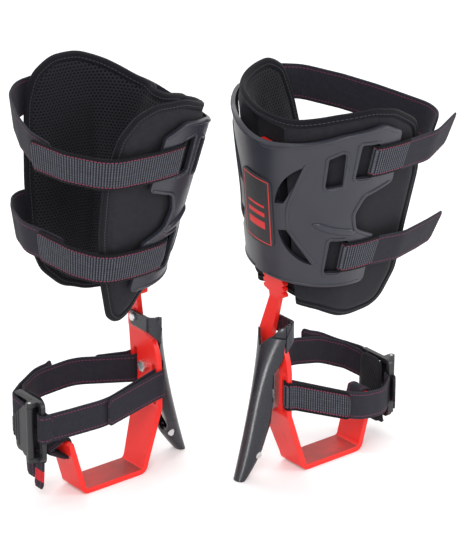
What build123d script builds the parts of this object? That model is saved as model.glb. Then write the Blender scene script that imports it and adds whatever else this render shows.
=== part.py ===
"""A pair of tree climbing spikes: leg irons with gaffs, gaff guards, calf cuffs and ankle straps.

Each climber is drawn as the right one, in its own frame: the origin is the inner bottom corner of
the sole, x runs from the gaff leg out to the outer upright, y towards the heel and z up. The left
climber is its mirror image. Only the straps, which hang as they fall, differ from side to side.
"""

import os
from math import atan, cos, degrees, hypot, radians, sin, tan

from build123d import *

# The pair: inner sole corners this far apart, the left climber this far behind the right one
PAIR_SPACING = 135
PAIR_STAGGER = 101
PAIR_SHIFT = 12.4
PAIR_SIDE_SHIFT = -2.9

# How each climber is set: fall, bulge and roll of the ankle loop, height of the cuff on the toothed bar
ANKLE_FALL = {"left": 0.07, "right": 0.25}
ANKLE_BULGE = {"left": 28, "right": 42}
ANKLE_ROLL = {"left": 0.14, "right": 0.32}
CUFF_RAISE = {"left": 12.5, "right": 0}

# Leg iron: one flat strip, bent under the boot and up the inside of the leg
STRIP_THICKNESS = 6
BEND_RADIUS = 10
SOLE_LENGTH = 82
SOLE_WIDTH = 36
UPRIGHT_HEIGHT = 62
UPRIGHT_LEAN = 15
LEG_OUT = 23
KNEE_HEIGHT = 70
SHOULDER_HEIGHT = 150
SHOULDER_START = 114
PLATE_REAR = 32
WAIST_HEIGHT = 196
WAIST_IN = 7.5
WAIST_WIDTH = 15
NECK_WIDTH = 21
BAR_TOP = 384
BAR_WIDTH = 27
BAR_LEAN = 10
TOOTH_PITCH = 7
TOOTH_RADIUS = 3
TOOTH_COUNT = 13

# Strap slots in the leg plate and the keeper slot in the outer upright
SLOT_LENGTH = 47
SLOT_WIDTH = 6
FRONT_SLOT_HEIGHT = 98
REAR_SLOT_HEIGHT = 107
FRONT_SLOT_Y = -11.5
REAR_SLOT_Y = 21
KEEPER_SLOT_HEIGHT = 44.5
KEEPER_WIDTH = 24

# Gaff: base plate and spike, with its bolts
GAFF_Y = 5
GAFF_BASE_WIDTH = 18
GAFF_BASE_LOW = 74
GAFF_BASE_HIGH = 128
GAFF_BASE_THICKNESS = 7
GAFF_ROOT_RADIUS = 8.5
GAFF_ROOT_HEIGHT = 100
GAFF_TIP_OUT = 59
GAFF_TIP_Y = 8
GAFF_TIP_HEIGHT = 11
GAFF_TIP_RADIUS = 0.8
BOLT_DIAMETER = 8
BOLT_HEAD = 13
BOLT_HEAD_HEIGHT = 5
BOLT_NUT_HEIGHT = 4
BOLT_HEIGHTS = (88, 114)

# Gaff guard: sections from its tip to its mouth as height, centre x, centre y, half depth, half width
GUARD_WALL = 2.6
GUARD_TIP_HEIGHT = 0
GUARD_MOUTH_HEIGHT = SHOULDER_HEIGHT + 10
GUARD_NOTCH = 14
GUARD_OPENING_OUT = 33.5
GUARD_EDGE = 1.5
GUARD_RIVET = (-48, 27)
RIVET_HEAD = 8
COLLAR_LOW = SHOULDER_HEIGHT - 6
COLLAR_HIGH = SHOULDER_HEIGHT + 26
COLLAR_SLOPE = 17
COLLAR_FRONT = -SOLE_WIDTH / 2 + 1.5
COLLAR_END = 19
COLLAR_WALL = 2.6
COLLAR_GAP = 1
COLLAR_CLEARANCE = 0.7

# Calf cuff: a tapered U-shaped wall about a tilted axis, open to the outer side
CUFF_REACH = 55.6135
CUFF_Y = 15.7
CUFF_HEIGHT = 225
CUFF_TILT = 8
CUFF_RADIUS = 68
CUFF_TAPER = 0.178
SHELL_WALL = 4
SHELL_LOW = 6
SHELL_WING = 14
SHELL_SPINE_TOP = 158
SHELL_WING_TOP = 207
SHELL_FAR_DROP = 32
PAD_GAP = 3.6
PAD_RIM = 5
PAD_CORE = 11
PAD_RIM_WIDTH = 9
PAD_WING = 66
PAD_LOW = -55
PAD_HIGH = 222
PAD_SPINE_TOP = 191
PAD_SAG = {"left": 10, "right": 0}
BAR_TRAVEL = 23

# Shank sleeve in the cuff's spine
BAR_OFFSET = -5
SLEEVE_WALL = 2
SLEEVE_LOW = 22
SLEEVE_HIGH = 122
SLEEVE_CLEARANCE = 0.4
SLEEVE_RIVET = 5
CLAMP_SCREW = 6
CLAMP_SCREW_HEAD = 10
CLAMP_SCREW_HEAD_HEIGHT = 3
PANEL_WIDTH = 46
PANEL_LENGTH = 84
PANEL_THICKNESS = 1.2
PANEL_HEIGHT = 84

# Webbing
WEB_WIDTH = 38
ANKLE_WEB_WIDTH = 32
WEB_THICKNESS = 2.2
WEB_CLEARANCE = 0.5
UPPER_STRAP_HEIGHT = 164
LOWER_STRAP_HEIGHT = 45

# Cam buckle at the outer end of the ankle loop
BUCKLE_X = 124
BUCKLE_Y = 10.5
BUCKLE_DROP = 9
BUCKLE_THICKNESS = 5
BUCKLE_LENGTH = 49
BUCKLE_TALL = 68
BUCKLE_BAR = 5
BUCKLE_WINDOW = 58
LEVER_THICKNESS = 3.5
LEVER_LENGTH = 30
LEVER_BARREL = 7.5
PIN_DIAMETER = 3.4
PIN_CLEARANCE = 0.3
BACKING_THICKNESS = 3
BACKING_WIDTH = 34
BACKING_LENGTH = 76

# Small hardware and clearances
GUARD_OFFSET = 4.3
RIVET_SHANK = 4
RIVET_SEAT = 8.4
RIVET_HEAD_HEIGHT = 1.8
STUD_DIAMETER = 9
STUD_HEIGHT = 3
SLEEVE_SIDE = 0.9
RIVET_SEAT_DEPTH = 8.6
RIVET_CAP = 1.5
PANEL_SEAT = 0.1
PAD_BRIDGE = 8
PAD_SPINE_LOW = -9
STRAP_SLOT_WIDTH = 20
STRAP_SLOT_LENGTH = 42
STRAP_LEAVE = 0.5
STRAP_RISE = 6.5
STRAP_BEND = 0.4
UPPER_SLOT_ANGLE = 75.2
LOWER_SLOT_ANGLE = 66.7
STRAP_SLOTS = ((UPPER_SLOT_ANGLE, UPPER_STRAP_HEIGHT), (LOWER_SLOT_ANGLE, LOWER_STRAP_HEIGHT))
TAB_WIDTH = 15
TAB_FOOT = 15
TAB_LAP = 6

FAR_OUT = 200

# The cuff's axis stands off the shank bar, whose face leans away above the waist
CUFF_X = -LEG_OUT + WAIST_IN - (CUFF_HEIGHT - WAIST_HEIGHT) * tan(radians(BAR_LEAN)) + CUFF_REACH
CUFF_AXIS = (0, -sin(radians(CUFF_TILT)), cos(radians(CUFF_TILT)))
CUFF_ACROSS = (0, cos(radians(CUFF_TILT)), sin(radians(CUFF_TILT)))
CUFF = Plane(origin=(CUFF_X, CUFF_Y, CUFF_HEIGHT), x_dir=(1, 0, 0), z_dir=CUFF_AXIS)
CUFF_SIDE = Plane(origin=CUFF.origin, x_dir=(1, 0, 0), z_dir=-Vector(*CUFF_ACROSS))


def cuff_radius(height):
    """Outer radius of the shell at a height above the cuff's base."""
    return CUFF_RADIUS + CUFF_TAPER * height


def cuff_point(u, v, w):
    return CUFF.from_local_coords(Vector(u, v, w))


def cuff_direction(u, v, w):
    return cuff_point(u, v, w) - CUFF.origin


def shell_spot(angle, height):
    """Plane on the shell's outer face: x runs round it towards the front, y up it."""
    turn = radians(angle)
    radius = cuff_radius(height)
    return Plane(
        origin=cuff_point(-radius * cos(turn), radius * sin(turn), height),
        x_dir=cuff_direction(-sin(turn), -cos(turn), 0),
        z_dir=cuff_direction(-cos(turn), sin(turn), -CUFF_TAPER),
    )


def bar_centre_y(height):
    """The shank bar leans towards the toe with the cuff's axis."""
    return CUFF_Y + BAR_OFFSET - (height - CUFF_HEIGHT) * tan(radians(CUFF_TILT))


def bar_face_x(height):
    """Outer face of the shank bar above the waist."""
    return -LEG_OUT + WAIST_IN - (height - WAIST_HEIGHT) * tan(radians(BAR_LEAN))


# The bar's own plane: on its outer face, x across the bar, y up along it, normal outwards
BAR_UP = Vector(-tan(radians(BAR_LEAN)), -tan(radians(CUFF_TILT)), 1).normalized()
BAR_OUT = Vector(-1, 0, -tan(radians(BAR_LEAN))).normalized()
BAR = Plane(
    origin=(bar_face_x(CUFF_HEIGHT), bar_centre_y(CUFF_HEIGHT), CUFF_HEIGHT),
    x_dir=BAR_UP.cross(BAR_OUT),
    z_dir=BAR_OUT,
)


def leg_iron():
    """Outer upright, sole, leg plate, neck and toothed bar in one strip."""
    half = SOLE_WIDTH / 2
    upright_top = (SOLE_LENGTH + UPRIGHT_HEIGHT * tan(radians(UPRIGHT_LEAN)), UPRIGHT_HEIGHT)
    bar_top = (bar_face_x(BAR_TOP), BAR_TOP)
    waist = (bar_face_x(WAIST_HEIGHT), WAIST_HEIGHT)
    neck_y = bar_centre_y(SHOULDER_HEIGHT)
    waist_y = bar_centre_y(WAIST_HEIGHT)
    root_half = BAR_WIDTH / 2
    with BuildPart() as iron:
        # The strip seen from the side, from mid sole up the leg
        with BuildSketch(Plane.XZ):
            with BuildLine():
                FilletPolyline(
                    (SOLE_LENGTH / 2, 0),
                    (0, 0),
                    (-LEG_OUT, KNEE_HEIGHT),
                    (-LEG_OUT, SHOULDER_HEIGHT),
                    waist,
                    bar_top,
                    radius=BEND_RADIUS,
                )
                offset(amount=STRIP_THICKNESS, side=Side.RIGHT)
            make_face()
        extrude(amount=FAR_OUT, both=True)
        # The same strip seen from the gaff side: plate, neck and toothed bar
        with BuildSketch(Plane.YZ):
            with BuildLine():
                Line((half, -1), (-half, -1))
                Line((-half, -1), (-half, SHOULDER_START))
                shoulder = TangentArc(
                    (-half, SHOULDER_START), (-half / 2, SHOULDER_HEIGHT - 2), tangent=(0, 1)
                )
                Polyline(
                    shoulder @ 1,
                    (neck_y - NECK_WIDTH / 2, SHOULDER_HEIGHT + 6),
                    (waist_y - WAIST_WIDTH / 2, WAIST_HEIGHT),
                    (waist_y - WAIST_WIDTH / 2, WAIST_HEIGHT + 10),
                    (waist_y + WAIST_WIDTH / 2, WAIST_HEIGHT + 10),
                    (waist_y + WAIST_WIDTH / 2, WAIST_HEIGHT),
                    (neck_y + NECK_WIDTH / 2, SHOULDER_HEIGHT + 6),
                    (PLATE_REAR, SHOULDER_HEIGHT),
                    (half + (PLATE_REAR - half) / 2, KNEE_HEIGHT - 10),
                    (half, STRIP_THICKNESS * 2),
                    (half, -1),
                )
            make_face()
            bar_low = WAIST_HEIGHT + 5
            bar_mid = (bar_low + BAR_TOP) / 2
            with Locations(Location((bar_centre_y(bar_mid), bar_mid), CUFF_TILT)):
                RectangleRounded(BAR_WIDTH, (BAR_TOP - bar_low) / cos(radians(CUFF_TILT)), 4)
            tooth_mid = bar_low + TOOTH_PITCH * TOOTH_COUNT / 2
            with Locations(Location((bar_centre_y(tooth_mid), tooth_mid), CUFF_TILT)):
                with GridLocations(2 * root_half, TOOTH_PITCH, 2, TOOTH_COUNT):
                    Circle(TOOTH_RADIUS)
        extrude(amount=FAR_OUT, both=True, mode=Mode.INTERSECT)
        # Outer half of the sole and the outer upright
        with BuildSketch(Plane.XZ):
            with BuildLine():
                FilletPolyline((SOLE_LENGTH / 3, 0), (SOLE_LENGTH, 0), upright_top, radius=BEND_RADIUS)
                offset(amount=STRIP_THICKNESS, side=Side.LEFT)
            make_face()
        extrude(amount=half, both=True)
        # Strap slots, bolt holes and the keeper slot
        with BuildSketch(Plane.YZ):
            with Locations((FRONT_SLOT_Y, FRONT_SLOT_HEIGHT), (REAR_SLOT_Y, REAR_SLOT_HEIGHT)):
                SlotOverall(SLOT_LENGTH, SLOT_WIDTH, rotation=90)
            with Locations(*[(GAFF_Y, height) for height in BOLT_HEIGHTS]):
                Circle(BOLT_DIAMETER / 2)
        extrude(amount=-LEG_OUT * 2, mode=Mode.SUBTRACT)
        with BuildSketch(Plane.YZ.offset(SOLE_LENGTH / 2)):
            with Locations((KEEPER_WIDTH / 8, KEEPER_SLOT_HEIGHT)):
                SlotOverall(KEEPER_WIDTH + 4, 5)
        extrude(amount=SOLE_LENGTH, mode=Mode.SUBTRACT)
    return iron.part


def gaff_axis_x(height):
    """Centre line of the spike, from its root in the base plate to its tip."""
    root = LEG_OUT + GAFF_BASE_THICKNESS - 1
    fall = (GAFF_ROOT_HEIGHT - height) / (GAFF_ROOT_HEIGHT - GAFF_TIP_HEIGHT)
    return -root - (GAFF_TIP_OUT - root) * fall


def gaff_axis_y(height):
    fall = (GAFF_ROOT_HEIGHT - height) / (GAFF_ROOT_HEIGHT - GAFF_TIP_HEIGHT)
    return GAFF_Y + (GAFF_TIP_Y - GAFF_Y) * fall


def gaff():
    """Spike with its bolted base plate on the outer face of the leg plate."""
    middle = (GAFF_BASE_LOW + GAFF_BASE_HIGH) / 2
    with BuildPart() as spike:
        with BuildSketch(Plane.YZ.offset(-LEG_OUT)):
            with Locations((GAFF_Y, middle)):
                RectangleRounded(GAFF_BASE_WIDTH, GAFF_BASE_HIGH - GAFF_BASE_LOW, 8)
        extrude(amount=-GAFF_BASE_THICKNESS)
        sections = ((GAFF_ROOT_HEIGHT, GAFF_ROOT_RADIUS), (50, 6.2), (GAFF_TIP_HEIGHT, GAFF_TIP_RADIUS))
        for height, radius in sections:
            with BuildSketch(Plane.XY.offset(height)):
                with Locations((gaff_axis_x(height), gaff_axis_y(height))):
                    Circle(radius)
        loft(ruled=True)
        # What lies behind the leg plate's face comes off, and the bolts pass through
        with BuildSketch(Plane.YZ.offset(-LEG_OUT)):
            with Locations((GAFF_Y, middle)):
                Rectangle(FAR_OUT, FAR_OUT)
        extrude(amount=LEG_OUT, mode=Mode.SUBTRACT)
        with BuildSketch(Plane.YZ.offset(-LEG_OUT)):
            with Locations(*[(GAFF_Y, height) for height in BOLT_HEIGHTS]):
                Circle(BOLT_DIAMETER / 2)
        extrude(amount=-GAFF_BASE_THICKNESS * 3, mode=Mode.SUBTRACT)
        with BuildSketch(Plane.YZ.offset(-LEG_OUT - GAFF_BASE_THICKNESS)):
            with Locations(*[(GAFF_Y, height) for height in BOLT_HEIGHTS]):
                Circle(BOLT_HEAD / 2 + 1)
        extrude(amount=-GAFF_BASE_THICKNESS * 3, mode=Mode.SUBTRACT)
    return spike.part


def gaff_bolts():
    """Hex bolts from the boot side through the leg plate and the gaff's base plate."""
    inner_face = -LEG_OUT + STRIP_THICKNESS
    outer_face = -LEG_OUT - GAFF_BASE_THICKNESS
    with BuildPart() as bolts:
        for height in BOLT_HEIGHTS:
            with BuildSketch(Plane.YZ.offset(inner_face)):
                with Locations((GAFF_Y, height)):
                    RegularPolygon(BOLT_HEAD / 2, 6)
            extrude(amount=BOLT_HEAD_HEIGHT)
            with BuildSketch(Plane.YZ.offset(inner_face)):
                with Locations((GAFF_Y, height)):
                    Circle(BOLT_DIAMETER / 2)
            extrude(amount=outer_face - inner_face - BOLT_NUT_HEIGHT)
    return bolts.part


def gaff_nuts():
    with BuildPart() as nuts:
        with BuildSketch(Plane.YZ.offset(-LEG_OUT - GAFF_BASE_THICKNESS)):
            with Locations(*[(GAFF_Y, height) for height in BOLT_HEIGHTS]):
                RegularPolygon(BOLT_HEAD / 2, 6)
                Circle(BOLT_DIAMETER / 2, mode=Mode.SUBTRACT)
        extrude(amount=-BOLT_NUT_HEIGHT)
    return nuts.part


def guard_sections():
    """Height, centre x, centre y, half depth and half width of the guard's outer face."""
    return (
        (GUARD_TIP_HEIGHT, -66, GAFF_Y + GUARD_OFFSET, 5.5, 7.5),
        (45, -45, GAFF_Y + GUARD_OFFSET - 0.3, 14, 12.5),
        (107, -27.5, GAFF_Y + GUARD_OFFSET - 0.8, 17.5, 15.5),
        (GUARD_MOUTH_HEIGHT, -15, GAFF_Y + 1.5, 18.5, 26.8),
    )


def gaff_guard():
    """Moulded sheath over the gaff, open towards the leg, with a V-notch under the bar."""
    mouth = GUARD_MOUTH_HEIGHT
    with BuildPart() as guard:
        for wall, mode in ((0, Mode.ADD), (GUARD_WALL, Mode.SUBTRACT)):
            for height, x, y, depth, width in guard_sections():
                lift = wall if height == GUARD_TIP_HEIGHT else 0
                with BuildSketch(Plane.XY.offset(height + lift)):
                    with Locations((x, y)):
                        Ellipse(depth - wall, width - wall)
            loft(mode=mode)
        # The open side, from the rivet's tab up to the mouth
        with BuildSketch(Plane.XZ):
            with BuildLine():
                Polyline(
                    (GUARD_RIVET[0] + 6, GUARD_RIVET[1] - 12),
                    (GUARD_RIVET[0] + 5, GUARD_RIVET[1] + 8),
                    (-GUARD_OPENING_OUT - 6, 47),
                    (-GUARD_OPENING_OUT, 62),
                    (-GUARD_OPENING_OUT, 118),
                    (-LEG_OUT - GUARD_EDGE, 134),
                    (-LEG_OUT - GUARD_EDGE, FAR_OUT),
                    (FAR_OUT, FAR_OUT),
                    (FAR_OUT, GUARD_RIVET[1] - 12),
                    close=True,
                )
            make_face()
        extrude(amount=FAR_OUT, both=True, mode=Mode.SUBTRACT)
        # V-notch at the mouth
        with BuildSketch(Plane.YZ):
            with BuildLine():
                Polyline((25, mouth), (14, mouth - GUARD_NOTCH), (0, mouth), (0, mouth + 1), (25, mouth + 1), close=True)
            make_face()
        extrude(amount=-FAR_OUT, mode=Mode.SUBTRACT)
        # Hole and flat seats for the rivet
        with BuildSketch(Plane.XZ):
            with Locations(GUARD_RIVET):
                Circle(RIVET_SHANK / 2)
        extrude(amount=FAR_OUT, both=True, mode=Mode.SUBTRACT)
        for seat in (-RIVET_SEAT, RIVET_SEAT):
            with BuildSketch(Plane.XZ.offset(-GAFF_Y - GUARD_OFFSET - seat)):
                with Locations(GUARD_RIVET):
                    Circle(RIVET_HEAD / 2 + 0.3)
            extrude(amount=-FAR_OUT if seat > 0 else FAR_OUT, mode=Mode.SUBTRACT)
    return guard.part


def collar_in():
    """Inner face of the wrap, just clear of the neck's inner face at the wrap's top."""
    lean = atan(WAIST_IN / (WAIST_HEIGHT - SHOULDER_HEIGHT))
    neck_face = -LEG_OUT + (COLLAR_HIGH - SHOULDER_HEIGHT) * tan(lean) + STRIP_THICKNESS / cos(lean)
    return neck_face + COLLAR_CLEARANCE + COLLAR_WALL


def guard_collar():
    """The guard's wrap over the neck's near edge, snapped against its inner face."""
    mouth = -LEG_OUT - GUARD_EDGE + COLLAR_GAP
    inner = collar_in()
    with BuildPart() as collar:
        with BuildSketch(Plane.XY.offset(COLLAR_LOW)):
            with BuildLine():
                FilletPolyline(
                    (inner, COLLAR_END),
                    (inner, COLLAR_FRONT),
                    (mouth, COLLAR_FRONT),
                    radius=8,
                )
                offset(amount=COLLAR_WALL, side=Side.RIGHT)
            make_face()
        extrude(amount=COLLAR_HIGH - COLLAR_LOW)
        with BuildSketch(Plane.XZ):
            with BuildLine():
                Polyline(
                    (inner - 6, COLLAR_HIGH + 1),
                    (mouth - 1, COLLAR_HIGH + 1),
                    (mouth - 1, GUARD_MOUTH_HEIGHT - 2),
                    close=True,
                )
            make_face()
            with BuildLine():
                Polyline(
                    (mouth, COLLAR_LOW),
                    (inner + 1, COLLAR_LOW),
                    (inner + 1, COLLAR_LOW + COLLAR_SLOPE),
                    close=True,
                )
            make_face()
        extrude(amount=FAR_OUT, both=True, mode=Mode.SUBTRACT)
    return collar.part


def collar_stud():
    """Snap stud that closes the wrap."""
    with BuildPart() as stud:
        with BuildSketch(Plane.YZ.offset(collar_in())):
            with Locations((COLLAR_END - STUD_DIAMETER / 2 - 1, COLLAR_HIGH - STUD_DIAMETER / 2 - 2)):
                Circle(STUD_DIAMETER / 2)
        extrude(amount=STUD_HEIGHT)
        chamfer(stud.faces().sort_by(Axis.X)[-1].edges(), STUD_HEIGHT / 3)
    return stud.part


def guard_rivet():
    """Rivet across the guard's lower end, on the boot side of the spike."""
    middle = GAFF_Y + GUARD_OFFSET
    with BuildPart() as rivet:
        with BuildSketch(Plane.XZ.offset(-middle)):
            with Locations(GUARD_RIVET):
                Circle(RIVET_SHANK / 2)
        extrude(amount=RIVET_SEAT, both=True)
        for seat in (-RIVET_SEAT, RIVET_SEAT):
            with BuildSketch(Plane.XZ.offset(-middle - seat)):
                with Locations(GUARD_RIVET):
                    Circle(RIVET_HEAD / 2)
            extrude(amount=-RIVET_HEAD_HEIGHT if seat > 0 else RIVET_HEAD_HEIGHT)
    return rivet.part


def cuff_block(inset, low, high, wing):
    """Solid U-shaped block inside the cuff's outer face, tapered from low to high."""
    with BuildPart() as block:
        for height in (low, high):
            radius = cuff_radius(height) - inset
            with BuildSketch(CUFF.offset(height)):
                with BuildLine():
                    Line((wing, radius), (0, radius))
                    CenterArc((0, 0), radius, 90, 90)
                    CenterArc((0, 0), radius, 180, 90)
                    Polyline((0, -radius), (wing, -radius), (wing, radius))
                make_face()
        loft(ruled=True)
    return block.part


def cuff_wall(outer_inset, inner_inset, low, high, wing):
    with BuildPart() as wall:
        add(cuff_block(outer_inset, low, high, wing))
        add(cuff_block(inner_inset, low - 1, high + 1, wing + 1), mode=Mode.SUBTRACT)
    return wall.part


def shell_vents(side):
    """Crescents and window of one half: plane and outline points with the arcs' middle points."""
    return (
        (shell_spot(side * 27, 126), ((17, 28), (-7, 3), (-15, -26), (-5, -23), (4, -3))),
        (shell_spot(side * 32, 52), ((21, -19), (-5, -5), (-17, 17), (-8, 20), (5, 4))),
    )


def shell_blank():
    """The shell seen from the side: dipped spine, notch between the straps, near wing higher than the far one."""
    spine = -cuff_radius(SHELL_WING_TOP) - 1
    with BuildPart() as blank:
        for half, top in ((-1, SHELL_WING_TOP), (1, SHELL_WING_TOP - SHELL_FAR_DROP)):
            with BuildSketch(CUFF_SIDE):
                with BuildLine():
                    FilletPolyline(
                        (spine, SHELL_LOW),
                        (SHELL_WING - 2, SHELL_LOW),
                        (SHELL_WING - 6, 67),
                        (-17, 80),
                        (-23, 99),
                        (-17, 120),
                        (SHELL_WING, 132),
                        (SHELL_WING - 6, top - 12),
                        (-16, top),
                        (-54, top - 11 + SHELL_FAR_DROP * (half + 1) / 4),
                        (-88, 175),
                        (spine, SHELL_SPINE_TOP),
                        radius=(0.5, 6, 5, 10, 14, 10, 6, 6, 12, 40, 30, 0.5),
                        close=True,
                    )
                make_face()
            extrude(amount=-half * FAR_OUT)
    return blank.part


def cuff_shell():
    """Moulded calf shell with vents, strap slots, wing notches and a seat for the sleeve."""
    seat_half = BAR_WIDTH / 2 + TOOTH_RADIUS + SLEEVE_SIDE + SLEEVE_WALL + 1
    with BuildPart() as seat:
        with BuildSketch(BAR.offset(SLEEVE_CLEARANCE + SLEEVE_WALL)):
            with Locations((0, (SLEEVE_LOW + SLEEVE_HIGH) / 2)):
                Rectangle(2 * seat_half, SLEEVE_HIGH - SLEEVE_LOW)
        extrude(amount=CUFF_RADIUS / 2)
        add(cuff_block(SHELL_WALL / 2, 0, SHELL_WING_TOP, SHELL_WING), mode=Mode.INTERSECT)
    with BuildPart() as shell:
        add(cuff_wall(0, SHELL_WALL, 0, SHELL_WING_TOP + 2, SHELL_WING + 2))
        add(seat.part)
        add(shell_blank(), mode=Mode.INTERSECT)
        for side in (-1, 1):
            for spot, (tip, outer, low, high, inner) in shell_vents(side):
                with BuildSketch(spot):
                    with BuildLine():
                        points = [(-side * x, y) for x, y in (tip, outer, low, high, inner)]
                        ThreePointArc(points[0], points[1], points[2])
                        Line(points[2], points[3])
                        ThreePointArc(points[3], points[4], points[0])
                    make_face()
                extrude(amount=SHELL_WALL * 3, both=True, mode=Mode.SUBTRACT)
            with BuildSketch(shell_spot(side * 56, 152)):
                with BuildLine():
                    corners = ((-8, -22), (-8, 15), (8, 25), (9, -17))
                    FilletPolyline(*[(-side * x, y) for x, y in corners], radius=2.5, close=True)
                make_face()
            extrude(amount=SHELL_WALL * 2, both=True, mode=Mode.SUBTRACT)
            for angle, height in STRAP_SLOTS:
                with BuildSketch(shell_spot(side * angle, height)):
                    RectangleRounded(STRAP_SLOT_WIDTH, STRAP_SLOT_LENGTH, 2.5)
                extrude(amount=SHELL_WALL * 2, both=True, mode=Mode.SUBTRACT)
        with BuildSketch(BAR.offset(SLEEVE_CLEARANCE)):
            with Locations(*rivet_places()):
                Circle(SLEEVE_RIVET / 2)
        extrude(amount=CUFF_RADIUS, mode=Mode.SUBTRACT)
        with BuildSketch(BAR.offset(RIVET_SEAT_DEPTH)):
            with Locations(*rivet_places()):
                Circle(SLEEVE_RIVET)
        extrude(amount=CUFF_RADIUS, mode=Mode.SUBTRACT)
    return shell.part


def rivet_places():
    """Sleeve rivets, on the bar's plane."""
    return [(x, y) for x in (-9, 9) for y in (SLEEVE_LOW + 28, SLEEVE_HIGH - 16)]


def badge_panel():
    """Plain inlaid panel on the spine."""
    with BuildPart() as panel:
        add(cuff_wall(-PANEL_THICKNESS - PANEL_SEAT, -PANEL_SEAT, 0, SHELL_SPINE_TOP, SHELL_WING))
        with BuildSketch(shell_spot(0, PANEL_HEIGHT)):
            RectangleRounded(PANEL_WIDTH, PANEL_LENGTH, 8)
        extrude(amount=CUFF_RADIUS / 2, both=True, mode=Mode.INTERSECT)
    return panel.part


def shank_sleeve():
    """Rectangular sleeve in which the toothed bar slides."""
    inside_width = BAR_WIDTH + 2 * TOOTH_RADIUS + 2 * SLEEVE_SIDE
    inside_depth = STRIP_THICKNESS + 2 * SLEEVE_CLEARANCE
    foot = Plane(origin=BAR.from_local_coords(Vector(0, SLEEVE_LOW, 0)), x_dir=BAR.x_dir, z_dir=BAR.y_dir)
    with BuildPart() as sleeve:
        with BuildSketch(foot):
            with Locations((0, STRIP_THICKNESS / 2)):
                Rectangle(inside_width + 2 * SLEEVE_WALL, inside_depth + 2 * SLEEVE_WALL)
                Rectangle(inside_width, inside_depth, mode=Mode.SUBTRACT)
        extrude(amount=SLEEVE_HIGH - SLEEVE_LOW)
        with BuildSketch(BAR):
            with Locations(*rivet_places()):
                Circle(SLEEVE_RIVET / 2)
        extrude(amount=CUFF_RADIUS, mode=Mode.SUBTRACT)
        with BuildSketch(BAR):
            with Locations(*clamp_places()):
                Circle(CLAMP_SCREW / 2)
        extrude(amount=-CUFF_RADIUS, mode=Mode.SUBTRACT)
    return sleeve.part


def clamp_places():
    return [(0, SLEEVE_LOW + 30), (0, SLEEVE_HIGH - 30)]


def sleeve_rivets():
    with BuildPart() as rivets:
        with BuildSketch(BAR.offset(SLEEVE_CLEARANCE)):
            with Locations(*rivet_places()):
                Circle(SLEEVE_RIVET / 2)
        extrude(amount=RIVET_SEAT_DEPTH - SLEEVE_CLEARANCE)
        with BuildSketch(BAR.offset(RIVET_SEAT_DEPTH)):
            with Locations(*rivet_places()):
                Circle(SLEEVE_RIVET * 0.9)
        extrude(amount=RIVET_CAP)
    return rivets.part


def clamp_screws():
    """Screws through the sleeve's inner wall, bearing on the bar."""
    tip = -STRIP_THICKNESS - SLEEVE_CLEARANCE / 2
    head = -STRIP_THICKNESS - SLEEVE_CLEARANCE - SLEEVE_WALL
    with BuildPart() as screws:
        with BuildSketch(BAR.offset(tip)):
            with Locations(*clamp_places()):
                Circle(CLAMP_SCREW / 2)
        extrude(amount=head - tip)
        with BuildSketch(BAR.offset(head)):
            with Locations(*clamp_places()):
                Circle(CLAMP_SCREW_HEAD / 2)
        extrude(amount=-CLAMP_SCREW_HEAD_HEIGHT)
    return screws.part


def pad_outline(side, half):
    """One half of the liner seen from the side: u and height of its corners, and their radii."""
    spine = -cuff_radius(PAD_HIGH)
    top = PAD_SPINE_TOP - PAD_SAG[side]
    shoulder = top - 5 if half > 0 and side == "left" else top + 8
    back = [(-82, shoulder), (spine, top), (spine, PAD_SPINE_LOW)]
    if half < 0 and side == "right":
        front = [
            (-50, -23), (-24, -31), (11, -48), (56, -44), (69, 0), (PAD_WING - 2, 60),
            (PAD_WING - 6, 132), (40, 194), (4, 216), (-24, PAD_HIGH), (-57, 214),
        ]
        radii = [30, 30, 40, 25, 30, 60, 60, 30, 40, 40, 40]
    elif half < 0:
        front = [
            (-14, -6), (-5, -25), (9, -41), (25, -27), (43, 24), (57, 84), (PAD_WING - 1, 147),
            (57, 200), (41, 222), (18, PAD_HIGH + 9), (-19, PAD_HIGH + 6), (-57, 207),
        ]
        radii = [8, 12, 8, 14, 60, 80, 60, 20, 20, 30, 40, 40]
    elif side == "right":
        front = [(-50, -23), (-10, -42), (16, -36), (30, 10), (32, 118), (24, 152), (11, 188), (-10, 200), (-60, 197)]
        radii = [30, 25, 20, 40, 40, 40, 20, 20, 40]
    else:
        front = [
            (-50, -36), (-22, -53), (12, -42), (37, -18), (49, 13), (51, 80), (49, 126),
            (46, 164), (36, 191), (12, 205), (-20, 205), (-48, 195), (-68, 183),
        ]
        radii = [30, 25, 40, 30, 30, 60, 60, 40, 25, 30, 40, 40, 40]
    with BuildLine() as outline:
        FilletPolyline(*front, *back, radius=radii + [40, 1, 1], close=True)
    return outline.edges()


def pad_layer(side, outer_inset, inner_inset, rim_inset):
    with BuildPart() as blank:
        for half in (-1, 1):
            with BuildSketch(CUFF_SIDE):
                make_face(pad_outline(side, half))
                if rim_inset:
                    offset(amount=-rim_inset, mode=Mode.REPLACE)
            extrude(amount=-half * FAR_OUT)
    with BuildPart() as layer:
        add(cuff_wall(outer_inset, inner_inset, PAD_LOW, PAD_HIGH + 20, PAD_WING + 6))
        add(blank.part, mode=Mode.INTERSECT)
    return layer.part


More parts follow.
